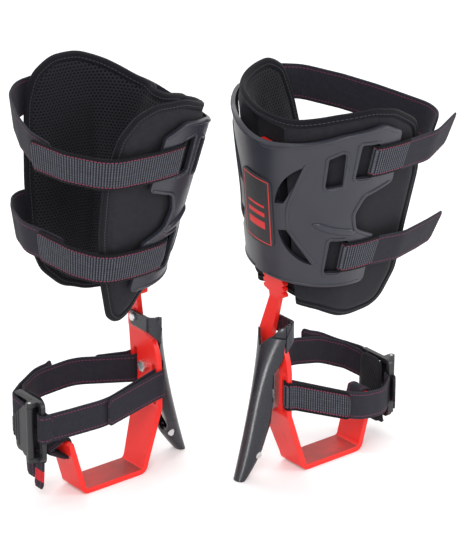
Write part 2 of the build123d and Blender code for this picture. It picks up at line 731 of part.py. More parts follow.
def cuff_pad(side):
    """Padded liner: a thin bound rim, a thick core and a cushion that bridges the shank sleeve."""
    face = SHELL_WALL + PAD_GAP
    step = (PAD_CORE - PAD_RIM) / 2
    groove_half = BAR_WIDTH / 2 + TOOTH_RADIUS + SLEEVE_SIDE + SLEEVE_WALL + 2
    groove_depth = STRIP_THICKNESS + SLEEVE_CLEARANCE + SLEEVE_WALL + CLAMP_SCREW_HEAD_HEIGHT + 1
    groove_top = (BAR_TOP - CUFF_HEIGHT) / BAR_UP.Z + BAR_TRAVEL
    bridge_top = PAD_SPINE_TOP - PAD_SAG[side]
    with BuildPart() as bridge:
        with BuildSketch(BAR.offset(-groove_depth - PAD_BRIDGE)):
            with Locations((0, (bridge_top + PAD_SPINE_LOW) / 2)):
                RectangleRounded(2 * groove_half + 16, bridge_top - PAD_SPINE_LOW, 12)
        extrude(amount=PAD_BRIDGE + groove_depth)
        add(cuff_block(face + step, PAD_LOW, PAD_HIGH, PAD_WING), mode=Mode.INTERSECT)
    with BuildPart() as pad:
        add(pad_layer(side, face, face + PAD_CORE, PAD_RIM_WIDTH))
        add(pad_layer(side, face + step, face + step + PAD_RIM, 0))
        add(bridge.part)
        # The groove for the bar and its sleeve ends under the pad's top edge
        with BuildSketch(BAR.offset(-groove_depth)):
            with Locations((0, groove_top - FAR_OUT)):
                Rectangle(2 * groove_half, 2 * FAR_OUT)
        extrude(amount=CUFF_RADIUS, mode=Mode.SUBTRACT)
    return pad.part


def band_edges(path, bends, thickness):
    """Outline of webbing seen on edge: a path, its copy one thickness to the left, and two ends.

    A bend is the radius inside it. A negative thickness puts the webbing to the right of the path.
    """
    steps = [(Vector(*b) - Vector(*a)).normalized() for a, b in zip(path, path[1:])]
    normals = [Vector(-step.Y, step.X) for step in steps]
    other = [Vector(*path[0]) + normals[0] * thickness]
    path_radii = []
    other_radii = []
    for i, bend in enumerate(bends):
        before, after = normals[i], normals[i + 1]
        miter = (before + after) * (thickness / (1 + before.dot(after)))
        other.append(Vector(*path[i + 1]) + miter)
        towards = steps[i].cross(steps[i + 1]).Z * thickness > 0
        path_radii.append(bend + abs(thickness) if towards else bend)
        other_radii.append(bend if towards else bend + abs(thickness))
    other.append(Vector(*path[-1]) + normals[-1] * thickness)
    with BuildLine() as outline:
        first = FilletPolyline(*path, radius=path_radii)
        second = FilletPolyline(*other, radius=other_radii)
        Line(first @ 0, second @ 0)
        Line(first @ 1, second @ 1)
    return outline.edges()


def turned(point, angle):
    """A point of the cuff's plan turned about its axis."""
    turn = radians(angle)
    u, v = point
    return (u * cos(turn) - v * sin(turn), u * sin(turn) + v * cos(turn))


def calf_strap(height, slot_angle, front, half):
    """One webbing of a calf strap, from its shell slot to the front. half is -1 near, 1 far."""
    radius = cuff_radius(height)
    inside = radius - SHELL_WALL - WEB_THICKNESS - WEB_CLEARANCE
    outside = radius + WEB_CLEARANCE
    leave = slot_angle + degrees(STRAP_LEAVE / radius)
    reach = leave + degrees(STRAP_RISE / radius)
    path = [
        turned((-inside, 0), -half * (slot_angle - 12)),
        turned((-inside, 0), -half * leave),
        turned((-outside, 0), -half * reach),
        turned((-outside, 0), -half * (reach + 90) / 2),
        (0, half * outside),
        (SHELL_WING + 2, half * outside),
    ]
    path += front
    bends = [4, 4] + [radius / 4] * 3 + [radius * STRAP_BEND] * (len(front) - 1)
    with BuildPart() as strap:
        for edge in (-WEB_WIDTH / 2, WEB_WIDTH / 2):
            growth = cuff_radius(height + edge) / radius
            with BuildSketch(CUFF.offset(height + edge)):
                grown = [(u * growth, v * growth) for u, v in path]
                make_face(band_edges(grown, bends, half * WEB_THICKNESS))
        loft(ruled=True)
    return strap.part


def upper_strap_near(side):
    front = {
        "left": [(66, -93), (93, -56), (105, -18), (106, 2)],
        "right": [(60, -95), (104, -73)],
    }
    return calf_strap(UPPER_STRAP_HEIGHT, UPPER_SLOT_ANGLE, front[side], -1)


def upper_strap_far(side):
    front = {
        "left": [(48, 93), (68, 73), (87, 32), (97, -4), (95, -36)],
        "right": [(36, 85), (58, 47), (73, 12), (86, -30), (92, -55), (80, -72)],
    }
    return calf_strap(UPPER_STRAP_HEIGHT, UPPER_SLOT_ANGLE, front[side], 1)


def lower_strap_near(side):
    front = {
        "left": [(50, -72.5), (67, -42), (74, -10), (75.5, 3)],
        "right": [(46, -81), (84, -73), (110, -66)],
    }
    return calf_strap(LOWER_STRAP_HEIGHT, LOWER_SLOT_ANGLE, front[side], -1)


def lower_strap_far(side):
    front = {
        "left": [(54, 78), (70, 56), (79, 24), (69, -4), (64, -26)],
        "right": [(36, 70), (58, 30), (68, 4), (76, -22)],
    }
    return calf_strap(LOWER_STRAP_HEIGHT, LOWER_SLOT_ANGLE, front[side], 1)


def ankle_height(side, x, y):
    """Middle of the ankle webbing, which falls outwards and rolls down towards the toe."""
    middle = (FRONT_SLOT_HEIGHT + REAR_SLOT_HEIGHT) / 2
    return middle - ANKLE_FALL[side] * (x + LEG_OUT) + ANKLE_ROLL[side] * (y - GAFF_Y)


def ankle_strap(side, path, bends, thickness):
    """Upright webbing along a plan path, cut to the sloping band of the ankle loop."""
    middle = (SOLE_LENGTH / 2, GAFF_Y)
    band = Plane(
        origin=(middle[0], middle[1], ankle_height(side, *middle)),
        z_dir=(ANKLE_FALL[side], -ANKLE_ROLL[side], 1),
    )
    with BuildPart() as strap:
        with BuildSketch(Plane.XY):
            make_face(band_edges(path, bends, thickness))
        extrude(amount=FAR_OUT)
        with BuildSketch(band):
            Rectangle(2 * FAR_OUT, 2 * FAR_OUT)
        extrude(amount=ANKLE_WEB_WIDTH / 2, both=True, mode=Mode.INTERSECT)
    return strap.part


def slot_loop(slot_y, plate_edge, half):
    """Plan points of webbing that comes in outside the leg plate's edge and leaves through its slot."""
    outer = -LEG_OUT - WEB_CLEARANCE
    inner = -LEG_OUT + STRIP_THICKNESS + 2
    through = slot_y + half * (SLOT_WIDTH / 2 - WEB_CLEARANCE)
    past = plate_edge + half * WEB_CLEARANCE
    return [(inner + 2, past), (outer, past), (outer, through), (inner, through)]


def ankle_strap_front(side):
    """From its folded end, round the plate's front edge, along the toe side, round the buckle's bar."""
    bar_in = BUCKLE_X - WEB_CLEARANCE
    bar_out = BUCKLE_X + BUCKLE_THICKNESS + WEB_CLEARANCE
    bar_far = BUCKLE_Y - BUCKLE_LENGTH / 2 + BUCKLE_BAR + WEB_CLEARANCE
    bulge = ANKLE_BULGE[side]
    path = [(56, -bulge - 0.8)]
    path += slot_loop(FRONT_SLOT_Y, -SOLE_WIDTH / 2, -1)
    path += [(56, -bulge), (99, -bulge + 7), (bar_in, bar_far - 8), (bar_in, bar_far), (bar_out, bar_far)]
    path += [(bar_out, bar_far - 7), (103, -bulge + 7)]
    return ankle_strap(side, path, (12, 0.5, 0.5, 8, 70, 50, 3, 0.5, 0.5, 4), WEB_THICKNESS)


def ankle_strap_rear(side):
    """From its sewn end, round the plate's rear edge, along the heel side, round the buckle and back."""
    bar_in = BUCKLE_X - WEB_CLEARANCE
    bar_out = BUCKLE_X + BUCKLE_THICKNESS + WEB_CLEARANCE
    bar_near = BUCKLE_Y - BUCKLE_BAR / 2 - WEB_CLEARANCE
    bar_end = BUCKLE_Y + BUCKLE_LENGTH / 2
    path = [(20, 45.2)]
    path += slot_loop(REAR_SLOT_Y, PLATE_REAR - 1.2, 1)
    path += [(40, 56), (86, 58), (112, 46), (bar_in, bar_end - 4), (bar_in, bar_near), (bar_out, bar_near)]
    path += [(bar_out, bar_end + 2), (113, 47.6), (86.5, 58.9), (72, 58.4), (63, 62)]
    bends = (10, 0.5, 0.5, 8, 55, 40, 14, 8, 0.5, 0.5, 8, 14, 40, 8)
    return ankle_strap(side, path, bends, -WEB_THICKNESS)


def buckle_centre(side):
    return ankle_height(side, BUCKLE_X, BUCKLE_Y) - BUCKLE_DROP


def buckle_pivot():
    """Plan place of the lever's pin."""
    outer = BUCKLE_X + BUCKLE_THICKNESS + WEB_THICKNESS + 2 * WEB_CLEARANCE
    return (outer + LEVER_BARREL / 2 + 0.5, BUCKLE_Y - BUCKLE_LENGTH / 2 + BUCKLE_BAR + 6)


def buckle_frame(side):
    """Three upright bars between two rails, with ears that carry the lever's pin."""
    low = buckle_centre(side) - BUCKLE_TALL / 2
    rail = (BUCKLE_TALL - BUCKLE_WINDOW) / 2
    window = (BUCKLE_LENGTH - 3 * BUCKLE_BAR) / 2
    pivot_x, pivot_y = buckle_pivot()
    with BuildPart() as frame:
        with BuildSketch(Plane.YZ.offset(BUCKLE_X)):
            with Locations((BUCKLE_Y, buckle_centre(side))):
                RectangleRounded(BUCKLE_LENGTH, BUCKLE_TALL, 6)
                with GridLocations(window + BUCKLE_BAR, 0, 2, 1):
                    Rectangle(window, BUCKLE_WINDOW, mode=Mode.SUBTRACT)
        extrude(amount=BUCKLE_THICKNESS)
        for foot in (low, low + BUCKLE_TALL - rail):
            with BuildSketch(Plane.XY.offset(foot)):
                with Locations(((BUCKLE_X + pivot_x) / 2, pivot_y)):
                    Rectangle(pivot_x - BUCKLE_X, LEVER_BARREL)
                with Locations((pivot_x, pivot_y)):
                    Circle(LEVER_BARREL / 2)
                    Circle(PIN_DIAMETER / 2, mode=Mode.SUBTRACT)
            extrude(amount=rail)
    return frame.part


def buckle_lever(side):
    """Cam lever with a barrel on the pin and thumb ridges at its free end."""
    middle = buckle_centre(side)
    height = BUCKLE_WINDOW - 1
    pivot_x, pivot_y = buckle_pivot()
    with BuildPart() as lever:
        with BuildSketch(Plane.XY.offset(middle - height / 2)):
            with Locations((pivot_x, pivot_y)):
                Circle(LEVER_BARREL / 2)
            with Locations((pivot_x, pivot_y + LEVER_LENGTH / 2)):
                Rectangle(LEVER_THICKNESS, LEVER_LENGTH)
            with Locations(*[(pivot_x + LEVER_THICKNESS / 2, pivot_y + LEVER_LENGTH - 3 - 4 * i) for i in range(3)]):
                Circle(1)
            with Locations((pivot_x, pivot_y)):
                Circle(PIN_DIAMETER / 2 + PIN_CLEARANCE, mode=Mode.SUBTRACT)
        extrude(amount=height)
        with BuildSketch(Plane.YZ):
            with Locations((pivot_y + LEVER_LENGTH, middle + height / 2), (pivot_y + LEVER_LENGTH, middle - height / 2)):
                Rectangle(LEVER_LENGTH, height / 2, rotation=45)
        extrude(amount=FAR_OUT, mode=Mode.SUBTRACT)
    return lever.part


def buckle_pin(side):
    with BuildPart() as pin:
        with BuildSketch(Plane.XY.offset(buckle_centre(side) - BUCKLE_TALL / 2)):
            with Locations(buckle_pivot()):
                Circle(PIN_DIAMETER / 2)
        extrude(amount=BUCKLE_TALL)
    return pin.part


def backing_face():
    """Inner face of the ankle webbing at the buckle, where the backing lies."""
    return BUCKLE_X - WEB_THICKNESS - 2 * WEB_CLEARANCE


def buckle_pad(side):
    """Soft backing between the boot and the buckle, with its tail that hangs to the keeper."""
    top = buckle_centre(side) + BUCKLE_TALL / 2
    with BuildPart() as backing:
        with BuildSketch(Plane.YZ.offset(backing_face() - BACKING_THICKNESS)):
            with Locations((BUCKLE_Y, top - BACKING_LENGTH / 2)):
                RectangleRounded(BACKING_WIDTH, BACKING_LENGTH, BACKING_WIDTH / 3)
        extrude(amount=BACKING_THICKNESS)
    return backing.part


def upright_keeper(side):
    """Webbing loop through the outer upright's slot, sewn to the backing."""
    top = UPRIGHT_HEIGHT + STRIP_THICKNESS * sin(radians(UPRIGHT_LEAN)) + WEB_CLEARANCE
    lean = tan(radians(UPRIGHT_LEAN))
    outer = SOLE_LENGTH + UPRIGHT_HEIGHT * lean
    inner = SOLE_LENGTH + KEEPER_SLOT_HEIGHT * lean - STRIP_THICKNESS / cos(radians(UPRIGHT_LEAN))
    end = backing_face() - BACKING_THICKNESS - WEB_THICKNESS
    seam = buckle_centre(side) - BUCKLE_TALL / 2 + 6
    slot = KEEPER_SLOT_HEIGHT + 1
    path = [
        (end, seam + 0.3),
        (outer + 1, top),
        (outer - STRIP_THICKNESS - 1, top),
        (inner - 1, slot),
        (outer - 1, slot),
        (end, seam - 0.3),
    ]
    with BuildPart() as keeper:
        with BuildSketch(Plane.XZ.offset(-KEEPER_WIDTH / 8)):
            make_face(band_edges(path, (6, 1, 1, 3), -WEB_THICKNESS))
        extrude(amount=KEEPER_WIDTH / 2, both=True)
    return keeper.part


def pull_tabs(side):
    """Two webbing ends that hang under the buckle."""
    length = buckle_centre(side) - BUCKLE_TALL / 2 + TAB_LAP - TAB_FOOT
    with BuildPart() as tabs:
        with BuildSketch(Plane.YZ.offset(backing_face() + WEB_CLEARANCE / 2)):
            with Locations((BUCKLE_Y - TAB_WIDTH * 0.6, TAB_FOOT)):
                Rectangle(TAB_WIDTH, length, align=(Align.CENTER, Align.MIN))
            with Locations((BUCKLE_Y + TAB_WIDTH * 0.6, TAB_FOOT + TAB_LAP)):
                Rectangle(TAB_WIDTH, length - TAB_LAP, align=(Align.CENTER, Align.MIN))
        extrude(amount=WEB_THICKNESS)
    return tabs.part


# Pieces that are the same on both climbers, and pieces that hang differently on each
RIGID = (
    leg_iron, gaff, gaff_bolts, gaff_nuts, gaff_guard, guard_rivet, guard_collar, collar_stud,
    cuff_shell, badge_panel, shank_sleeve, sleeve_rivets, clamp_screws,
)
HANGING = (
    cuff_pad, upper_strap_near, upper_strap_far, lower_strap_near, lower_strap_far, ankle_strap_front,
    ankle_strap_rear, buckle_frame, buckle_lever, buckle_pin, buckle_pad, upright_keeper, pull_tabs,
)


ON_CUFF = (
    "cuff_shell", "badge_panel", "shank_sleeve", "sleeve_rivets", "clamp_screws", "cuff_pad",
    "upper_strap_near", "upper_strap_far", "lower_strap_near", "lower_strap_far",
)


def hand_over(piece, side, name):
    """Places a piece of the right climber, or mirrors and places it for the left one."""
    sign = 1 if side == "right" else -1
    lift = BAR_UP * CUFF_RAISE[side] if name in ON_CUFF else Vector(0, 0, 0)
    raised = Pos(lift) * piece
    placed = raised if side == "right" else raised.mirror(Plane.YZ)
    across = sign * PAIR_SPACING / 2 + PAIR_SIDE_SHIFT
    along = -sign * PAIR_STAGGER / 2 + PAIR_SHIFT
    moved = Pos(across, along, 0) * placed
    moved.label = f"{side}_{name}"
    export_step(moved, f"parts/{side}_{name}.step")


def main():
    os.makedirs("parts", exist_ok=True)
    for make in RIGID:
        shape = make()
        for side in ("left", "right"):
            hand_over(shape, side, make.__name__)
    for make in HANGING:
        for side in ("left", "right"):
            hand_over(make(side), side, make.__name__)


if __name__ == "__main__":
    main()
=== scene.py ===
"""Pair of tree climbing spikes: finishes, webbing, pads and studio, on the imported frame."""
import math

import bmesh
import bpy
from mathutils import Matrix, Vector, geometry, kdtree


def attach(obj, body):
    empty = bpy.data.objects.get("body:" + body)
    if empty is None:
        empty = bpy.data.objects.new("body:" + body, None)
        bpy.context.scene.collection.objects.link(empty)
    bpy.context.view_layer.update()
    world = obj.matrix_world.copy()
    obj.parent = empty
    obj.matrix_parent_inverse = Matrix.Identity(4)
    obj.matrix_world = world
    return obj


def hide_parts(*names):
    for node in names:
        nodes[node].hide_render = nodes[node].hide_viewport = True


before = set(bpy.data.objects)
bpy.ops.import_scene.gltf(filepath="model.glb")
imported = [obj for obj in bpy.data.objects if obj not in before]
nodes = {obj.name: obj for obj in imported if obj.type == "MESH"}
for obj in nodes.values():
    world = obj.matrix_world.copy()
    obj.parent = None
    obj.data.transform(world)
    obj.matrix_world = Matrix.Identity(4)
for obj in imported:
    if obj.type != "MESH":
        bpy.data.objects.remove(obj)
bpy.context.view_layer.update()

MM = 0.001
SIDES = ("left", "right")

# Where the pair stands, in millimetres
PAIR_SPACING = 135
PAIR_STAGGER = 101
PAIR_SHIFT = 12.4
PAIR_SIDE_SHIFT = -2.9

# Calf cuff: a tapered U about an axis that leans towards the toe
CUFF_RAISE = {"left": 12.5, "right": 0}
CUFF_ORIGIN = Vector((35, 15.7, 225))
CUFF_TILT = math.radians(8)
CUFF_AXIS = Vector((0, -math.sin(CUFF_TILT), math.cos(CUFF_TILT)))
CUFF_ACROSS = Vector((0, math.cos(CUFF_TILT), math.sin(CUFF_TILT)))
CUFF_RADIUS = 68
CUFF_TAPER = 0.178
BAR_UP = Vector((-math.tan(math.radians(10)), -math.tan(CUFF_TILT), 1)).normalized()
SHELL_WALL = 4
SHELL_WING = 14
SHELL_LOW = 6
SHELL_SPINE_TOP = 158
SHELL_WING_TOP = 207
SHELL_FAR_DROP = 32

# Webbing and what it goes through
WEB_WIDTH = 38
ANKLE_WEB_WIDTH = 32
WEB_THICKNESS = 2.2
WEB_CLEARANCE = 0.5
LEG_OUT = 23
STRIP_THICKNESS = 6
SLOT_WIDTH = 6
BUCKLE_X = 124
BUCKLE_Y = 10.5
BUCKLE_THICKNESS = 5
BUCKLE_LENGTH = 49
BUCKLE_TALL = 68
BUCKLE_BAR = 5
BUCKLE_DROP = 9
BACKING_THICKNESS = 3

# Most of a side that a rounded corner may take, and the turn below which there is no corner
CORNER_ROOM = 0.48
STRAIGHT = 0.01

# Share of the cuff's radius beyond which a spot seen from the side lies on the spine
SPINE_SHARE = 0.999


def sign_of(side):
    return 1 if side == "right" else -1


def placed(side, point, on_cuff=False):
    """A point of the right climber, in millimetres, as it stands in the row frame for either side."""
    spot = Vector(point)
    if on_cuff:
        spot = spot + BAR_UP * CUFF_RAISE[side]
    sign = sign_of(side)
    x = sign * (spot.x + PAIR_SPACING / 2) + PAIR_SIDE_SHIFT
    y = spot.y - sign * PAIR_STAGGER / 2 + PAIR_SHIFT
    return Vector((x, y, spot.z)) * MM


def cuff_radius(height):
    return CUFF_RADIUS + CUFF_TAPER * height


def cuff_point(u, v, height):
    return CUFF_ORIGIN + Vector((u, 0, 0)) + CUFF_ACROSS * v + CUFF_AXIS * height


def rounded(points, radii, step=2.0):
    """Points along a polyline whose inner corners are rounded with the given radii."""
    corners = [Vector(point) for point in points]
    line = [corners[0]]
    for i, radius in enumerate(radii):
        before, corner, after = corners[i], corners[i + 1], corners[i + 2]
        into = (corner - before).normalized()
        out = (after - corner).normalized()
        turn = into.angle(out)
        if turn < STRAIGHT:
            line.append(corner)
            continue
        room = CORNER_ROOM * min((corner - before).length, (after - corner).length)
        cut = min(radius * math.tan(turn / 2), room)
        radius = cut / math.tan(turn / 2)
        start = corner - into * cut
        middle = start + (out - into * into.dot(out)).normalized() * radius
        arm = start - middle
        count = max(2, int(radius * turn / step) + 1)
        for k in range(count + 1):
            angle = turn * k / count
            line.append(middle + arm * math.cos(angle) + into * radius * math.sin(angle))
    line.append(corners[-1])
    return line


def evenly(line, step):
    """The same line with points at an even spacing."""
    lengths = [0.0]
    for a, b in zip(line, line[1:]):
        lengths.append(lengths[-1] + (b - a).length)
    count = max(2, int(lengths[-1] / step))
    even = []
    k = 0
    for i in range(count + 1):
        target = lengths[-1] * i / count
        while k < len(line) - 2 and lengths[k + 1] < target:
            k += 1
        span = max(lengths[k + 1] - lengths[k], 1e-9)
        even.append(line[k].lerp(line[k + 1], min(1, (target - lengths[k]) / span)))
    return even


def smooth_step(value):
    share = min(1.0, max(0.0, value))
    return share * share * (3 - 2 * share)


def round_edge(depth, radius):
    """Share of full thickness at a depth in from a rounded edge."""
    return math.sqrt(max(0.0, 1 - (1 - min(1.0, depth / radius)) ** 2))


class Wire:
    """A shader socket that takes part in Python arithmetic and makes further nodes."""

    def __init__(self, tree, socket=None):
        self.tree = tree
        self.socket = socket

    def node(self, kind, settings=None, inputs=None, output=0):
        """A new node: its settings first, then the values or links of its sockets."""
        made = self.tree.nodes.new(kind)
        for name, value in (settings or {}).items():
            setattr(made, name, value)
        for key, value in (inputs or {}).items():
            if isinstance(value, Wire):
                self.tree.links.new(value.socket, made.inputs[key])
            else:
                made.inputs[key].default_value = value
        return Wire(self.tree, made.outputs[output])

    def maths(self, operation, first, second=0.0):
        return self.node("ShaderNodeMath", {"operation": operation}, {0: first, 1: second})

    def __add__(self, other):
        return self.maths("ADD", self, other)

    def __radd__(self, other):
        return self.maths("ADD", other, self)

    def __sub__(self, other):
        return self.maths("SUBTRACT", self, other)

    def __rsub__(self, other):
        return self.maths("SUBTRACT", other, self)

    def __mul__(self, other):
        return self.maths("MULTIPLY", self, other)

    def __rmul__(self, other):
        return self.maths("MULTIPLY", other, self)

    def __lt__(self, other):
        return self.maths("LESS_THAN", self, other)

    def __gt__(self, other):
        return self.maths("GREATER_THAN", self, other)

    def size(self):
        return self.maths("ABSOLUTE", self)

    def larger(self, other):
        return self.maths("MAXIMUM", self, other)

    def axis(self, index):
        """One axis of this vector."""
        return self.node("ShaderNodeSeparateXYZ", {}, {0: self}, index)

    def dot(self, way):
        """How far this vector goes along a way."""
        return self.node("ShaderNodeVectorMath", {"operation": "DOT_PRODUCT"}, {0: self, 1: way}, "Value")

    def wave(self, pitch):
        """0 to 1 and back over each pitch."""
        return 0.5 + 0.5 * self.maths("SINE", self * (2 * math.pi / pitch))

    def part(self, pitch):
        """Share of the current pitch that has gone by, 0 to 1."""
        return self.maths("FRACT", self * (1 / pitch))

    def fade(self, low, high, start=1, end=0):
        """Goes from start to end while this value goes from low to high."""
        places = {"From Min": low, "From Max": high, "To Min": start, "To Max": end}
        return self.node("ShaderNodeMapRange", {}, {"Value": self, **places})

    def near(self, value, width, soft):
        """1 within width of a value, falling to 0 over soft."""
        return (self - value).size().fade(width, width + soft)

    def noise(self, scale, detail=3.0, rough=0.5):
        """Noise over this vector."""
        values = {"Vector": self, "Scale": scale, "Detail": detail, "Roughness": rough}
        return self.node("ShaderNodeTexNoise", {}, values)

    def blend(self, low, high):
        """Colour that goes from low to high with this value."""
        return self.node("ShaderNodeMix", {"data_type": "RGBA"}, {0: self, 6: low, 7: high}, 2)


class Finish:
    """A material on one Principled shader."""

    def __init__(self, name, constants):
        self.material = bpy.data.materials.new(name)
        self.material.use_nodes = True
        self.tree = self.material.node_tree
        self.shader = self.tree.nodes["Principled BSDF"]
        for key, value in constants.items():
            self.shader.inputs[key].default_value = value
        self.start = Wire(self.tree)

    def here(self):
        return self.start.node("ShaderNodeTexCoord", output="Object")

    def cloth(self):
        """Along the webbing and in from its edge, in metres."""
        spread = self.start.node("ShaderNodeUVMap", {"uv_map": "cloth"})
        return spread.axis(0), spread.axis(1)

    def feed(self, key, wire):
        self.tree.links.new(wire.socket, self.shader.inputs[key])

    def relief(self, height, distance, strength=1.0, edge=0.0):
        """Bump in metres, over edges that are eased by a small radius."""
        values = {"Strength": strength, "Distance": distance, "Height": height}
        if edge:
            values["Normal"] = self.start.node("ShaderNodeBevel", {"samples": 4}, {"Radius": edge})
        self.feed("Normal", self.start.node("ShaderNodeBump", {}, values))


def colour(red, green, blue):
    return (red, green, blue, 1)


# Gloss that webbing and pads share
CLOTH_GLOSS = {"Specular IOR Level": 0.1, "Sheen Weight": 0.05, "Sheen Roughness": 0.5}

# Sizes of what the finishes show, in metres, and the share of a stitch that shows
SOLE_TOP_LEVEL = 0.012
RIB_PITCH = 0.0027
RIB_ROW_PITCH = 0.0031
WARP_PITCH = 0.0012
WEFT_PITCH = 0.0013
SELVAGE = 0.0042
SEAM_INSET = 0.0036
THREAD_HALF = 0.0003
THREAD_SOFT = 0.0003
STITCH_PITCH = 0.0038
STITCH_SHARE = 0.68
MESH_PITCH = 0.0038
MESH_RISE = 0.0032
BADGE_HALF = 0.0192
BADGE_TALLER = 0.019
BADGE_BARS = ((-0.017, 0.0042), (-0.004, 0.0024), (0.006, 0.0012))
BADGE_BAR_HALF = 0.0125
KEYLINE_HALF = 0.00045
PRINT_SOFT = 0.0002

# The badge's middle on the cuff and how far its plane is measured from there, in millimetres
BADGE_HEIGHT = 84
BADGE_REACH = 40


def red_coat():
    """Powder coat with small chips, and upward faces low on the sole darker brown and rougher."""
    finish = Finish("red powder coat", {"Specular IOR Level": 0.35})
    here = finish.here()
    base = here.noise(18, 4).blend(colour(0.86, 0.016, 0.012), colour(0.95, 0.03, 0.022))
    worn = here.noise(70, 6, 0.65).fade(0.62, 0.8, 0, 0.35)
    chipped = worn.blend(base, colour(0.42, 0.008, 0.008))
    upward = here.node("ShaderNodeNewGeometry", output="Normal").axis(2)
    # Upward faces low on the sole: darker brown in noisy patches, and rougher
    dark_sole_top = (upward > 0.9) * (here.axis(2) < SOLE_TOP_LEVEL) * (0.25 + 0.9 * here.noise(28, 5, 0.6))
    finish.feed("Base Color", dark_sole_top.blend(chipped, colour(0.2, 0.05, 0.045)))
    finish.feed("Roughness", 0.24 + 0.16 * here.noise(45, 3) + 0.2 * dark_sole_top)
    finish.relief(here.noise(900, 2), 0.00012, 0.5, 0.0009)
    return finish.material


def moulded(name, dark, light, rough, grain, edge=0.0007, depth=0.0002):
    """Plastic or coated steel with a fine grain."""
    finish = Finish(name, {"Specular IOR Level": 0.5})
    here = finish.here()
    fine = here.noise(grain, 2)
    finish.feed("Base Color", (0.85 * here.noise(26, 4) + 0.15 * fine).blend(dark, light))
    finish.feed("Roughness", rough + 0.16 * here.noise(60, 4) - 0.05)
    finish.relief(fine, depth, 0.5, edge)
    return finish.material


def bright_metal(name, tone, rough):
    finish = Finish(name, {"Metallic": 1.0})
    here = finish.here()
    dull = colour(tone * 0.8, tone * 0.8, tone * 0.82)
    finish.feed("Base Color", here.noise(120, 4).blend(dull, colour(tone, tone, tone)))
    finish.feed("Roughness", rough + 0.18 * here.noise(300, 3))
    finish.relief(here.noise(700, 2), 0.00006, 0.4, 0.0005)
    return finish.material


def webbing(name, dark, light, thread, ribbed=False):
    """Woven tape with a sewn line along each edge, laid out by its own length and width."""
    finish = Finish(name, CLOTH_GLOSS)
    along, inward = finish.cloth()
    if ribbed:
        weave = along.wave(RIB_PITCH) * (0.6 + 0.4 * inward.wave(RIB_ROW_PITCH))
    else:
        weave = 0.5 * along.wave(WARP_PITCH) + 0.5 * inward.wave(WEFT_PITCH)
    cloud = finish.here().noise(220, 4)
    ground = (weave * (0.5 + cloud)).blend(dark, light)
    if ribbed:
        ground = (inward < SELVAGE).blend(ground, dark)
    stitch = along.part(STITCH_PITCH) < STITCH_SHARE
    sewn = inward.near(SEAM_INSET, THREAD_HALF, THREAD_SOFT) * stitch
    finish.feed("Base Color", sewn.blend(ground, thread))
    finish.feed("Roughness", 0.72 + 0.2 * cloud)
    finish.relief(weave + 0.8 * sewn, 0.0004 if ribbed else 0.00025, 0.8)
    return finish.material


def pad_cloth():
    """Spacer mesh inside, its openings painted near black as shade in their hollows; smooth knit outside.
    """
    finish = Finish("pad cloth", CLOTH_GLOSS)
    around, upward = finish.cloth()
    here = finish.here()
    inner = finish.start.node("ShaderNodeAttribute", {"attribute_name": "inner"}, output="Fac")
    row = upward.maths("FLOOR", upward * (1 / MESH_RISE))
    across = 0.5 - (around + MESH_PITCH / 2 * row).part(MESH_PITCH)
    climb = 0.5 - upward.part(MESH_RISE)
    hole = (across * across + climb * climb).fade(0.05, 0.13)
    cloud = here.noise(160, 4)
    # Openings of the spacer mesh: painted shade, near black, where the mesh dips in
    mesh = hole.blend(colour(0.017, 0.017, 0.021), colour(0.002, 0.002, 0.003))
    knit = cloud.blend(colour(0.01, 0.01, 0.013), colour(0.024, 0.024, 0.03))
    finish.feed("Base Color", inner.blend(knit, mesh))
    finish.feed("Roughness", 0.62 + 0.25 * cloud)
    finish.relief(here.noise(1100, 2) * (1 - inner) * 0.4 - hole * inner, 0.0006, 0.8)
    return finish.material


def badge(side):
    """Dark panel with a red keyline and plain red bars, in the panel's own plane."""
    finish = Finish(f"{side} badge", {"Specular IOR Level": 0.5})
    here = finish.here()
    low, middle, high = (
        placed(side, cuff_point(-cuff_radius(height), 0, height), True)
        for height in (BADGE_HEIGHT - BADGE_REACH, BADGE_HEIGHT, BADGE_HEIGHT + BADGE_REACH)
    )
    gone = here.node("ShaderNodeVectorMath", {"operation": "SUBTRACT"}, {0: here, 1: middle})
    wide = gone.dot(CUFF_ACROSS).size()
    tall = gone.dot((high - low).normalized())
    line = wide.larger(tall.size() - BADGE_TALLER).near(BADGE_HALF, KEYLINE_HALF, PRINT_SOFT)
    bars = sum(tall.near(place, half, PRINT_SOFT) for place, half in BADGE_BARS)
    red = line.larger(bars * (wide < BADGE_BAR_HALF))
    ground = here.noise(300, 3).blend(colour(0.012, 0.012, 0.014), colour(0.03, 0.03, 0.034))
    finish.feed("Base Color", red.blend(ground, colour(0.72, 0.03, 0.03)))
    finish.feed("Roughness", 0.42 + 0.2 * here.noise(90, 3))
    finish.relief(here.noise(1400, 2) + red, 0.0002, 0.5, 0.0004)
    return finish.material


RED = red_coat()
SHELL = moulded(
    "shell plastic", colour(0.017, 0.018, 0.026), colour(0.034, 0.035, 0.049), 0.32, 1500, depth=0.0001)
GUARD = moulded(
    "guard plastic", colour(0.013, 0.014, 0.02), colour(0.024, 0.025, 0.034), 0.24, 900, depth=0.00002)
BLACK_METAL = moulded(
    "black coated steel", colour(0.008, 0.008, 0.01), colour(0.02, 0.02, 0.023), 0.34, 1100, 0.0005)
ZINC = bright_metal("bright zinc", 0.78, 0.2)
SPIKE = bright_metal("ground steel", 0.5, 0.32)
RIBBED = webbing(
    "ribbed webbing", colour(0.007, 0.007, 0.009), colour(0.105, 0.11, 0.135),
    colour(0.27, 0.045, 0.095), True)
PLAIN = webbing(
    "plain webbing", colour(0.011, 0.0105, 0.014), colour(0.037, 0.036, 0.048), colour(0.16, 0.035, 0.075))
PATCH = webbing("red patch", colour(0.45, 0.012, 0.02), colour(0.7, 0.03, 0.04), colour(0.3, 0.01, 0.02))
PAD = pad_cloth()
BINDING = webbing(
    "pad binding", colour(0.004, 0.004, 0.006), colour(0.013, 0.013, 0.017), colour(0.05, 0.05, 0.058))

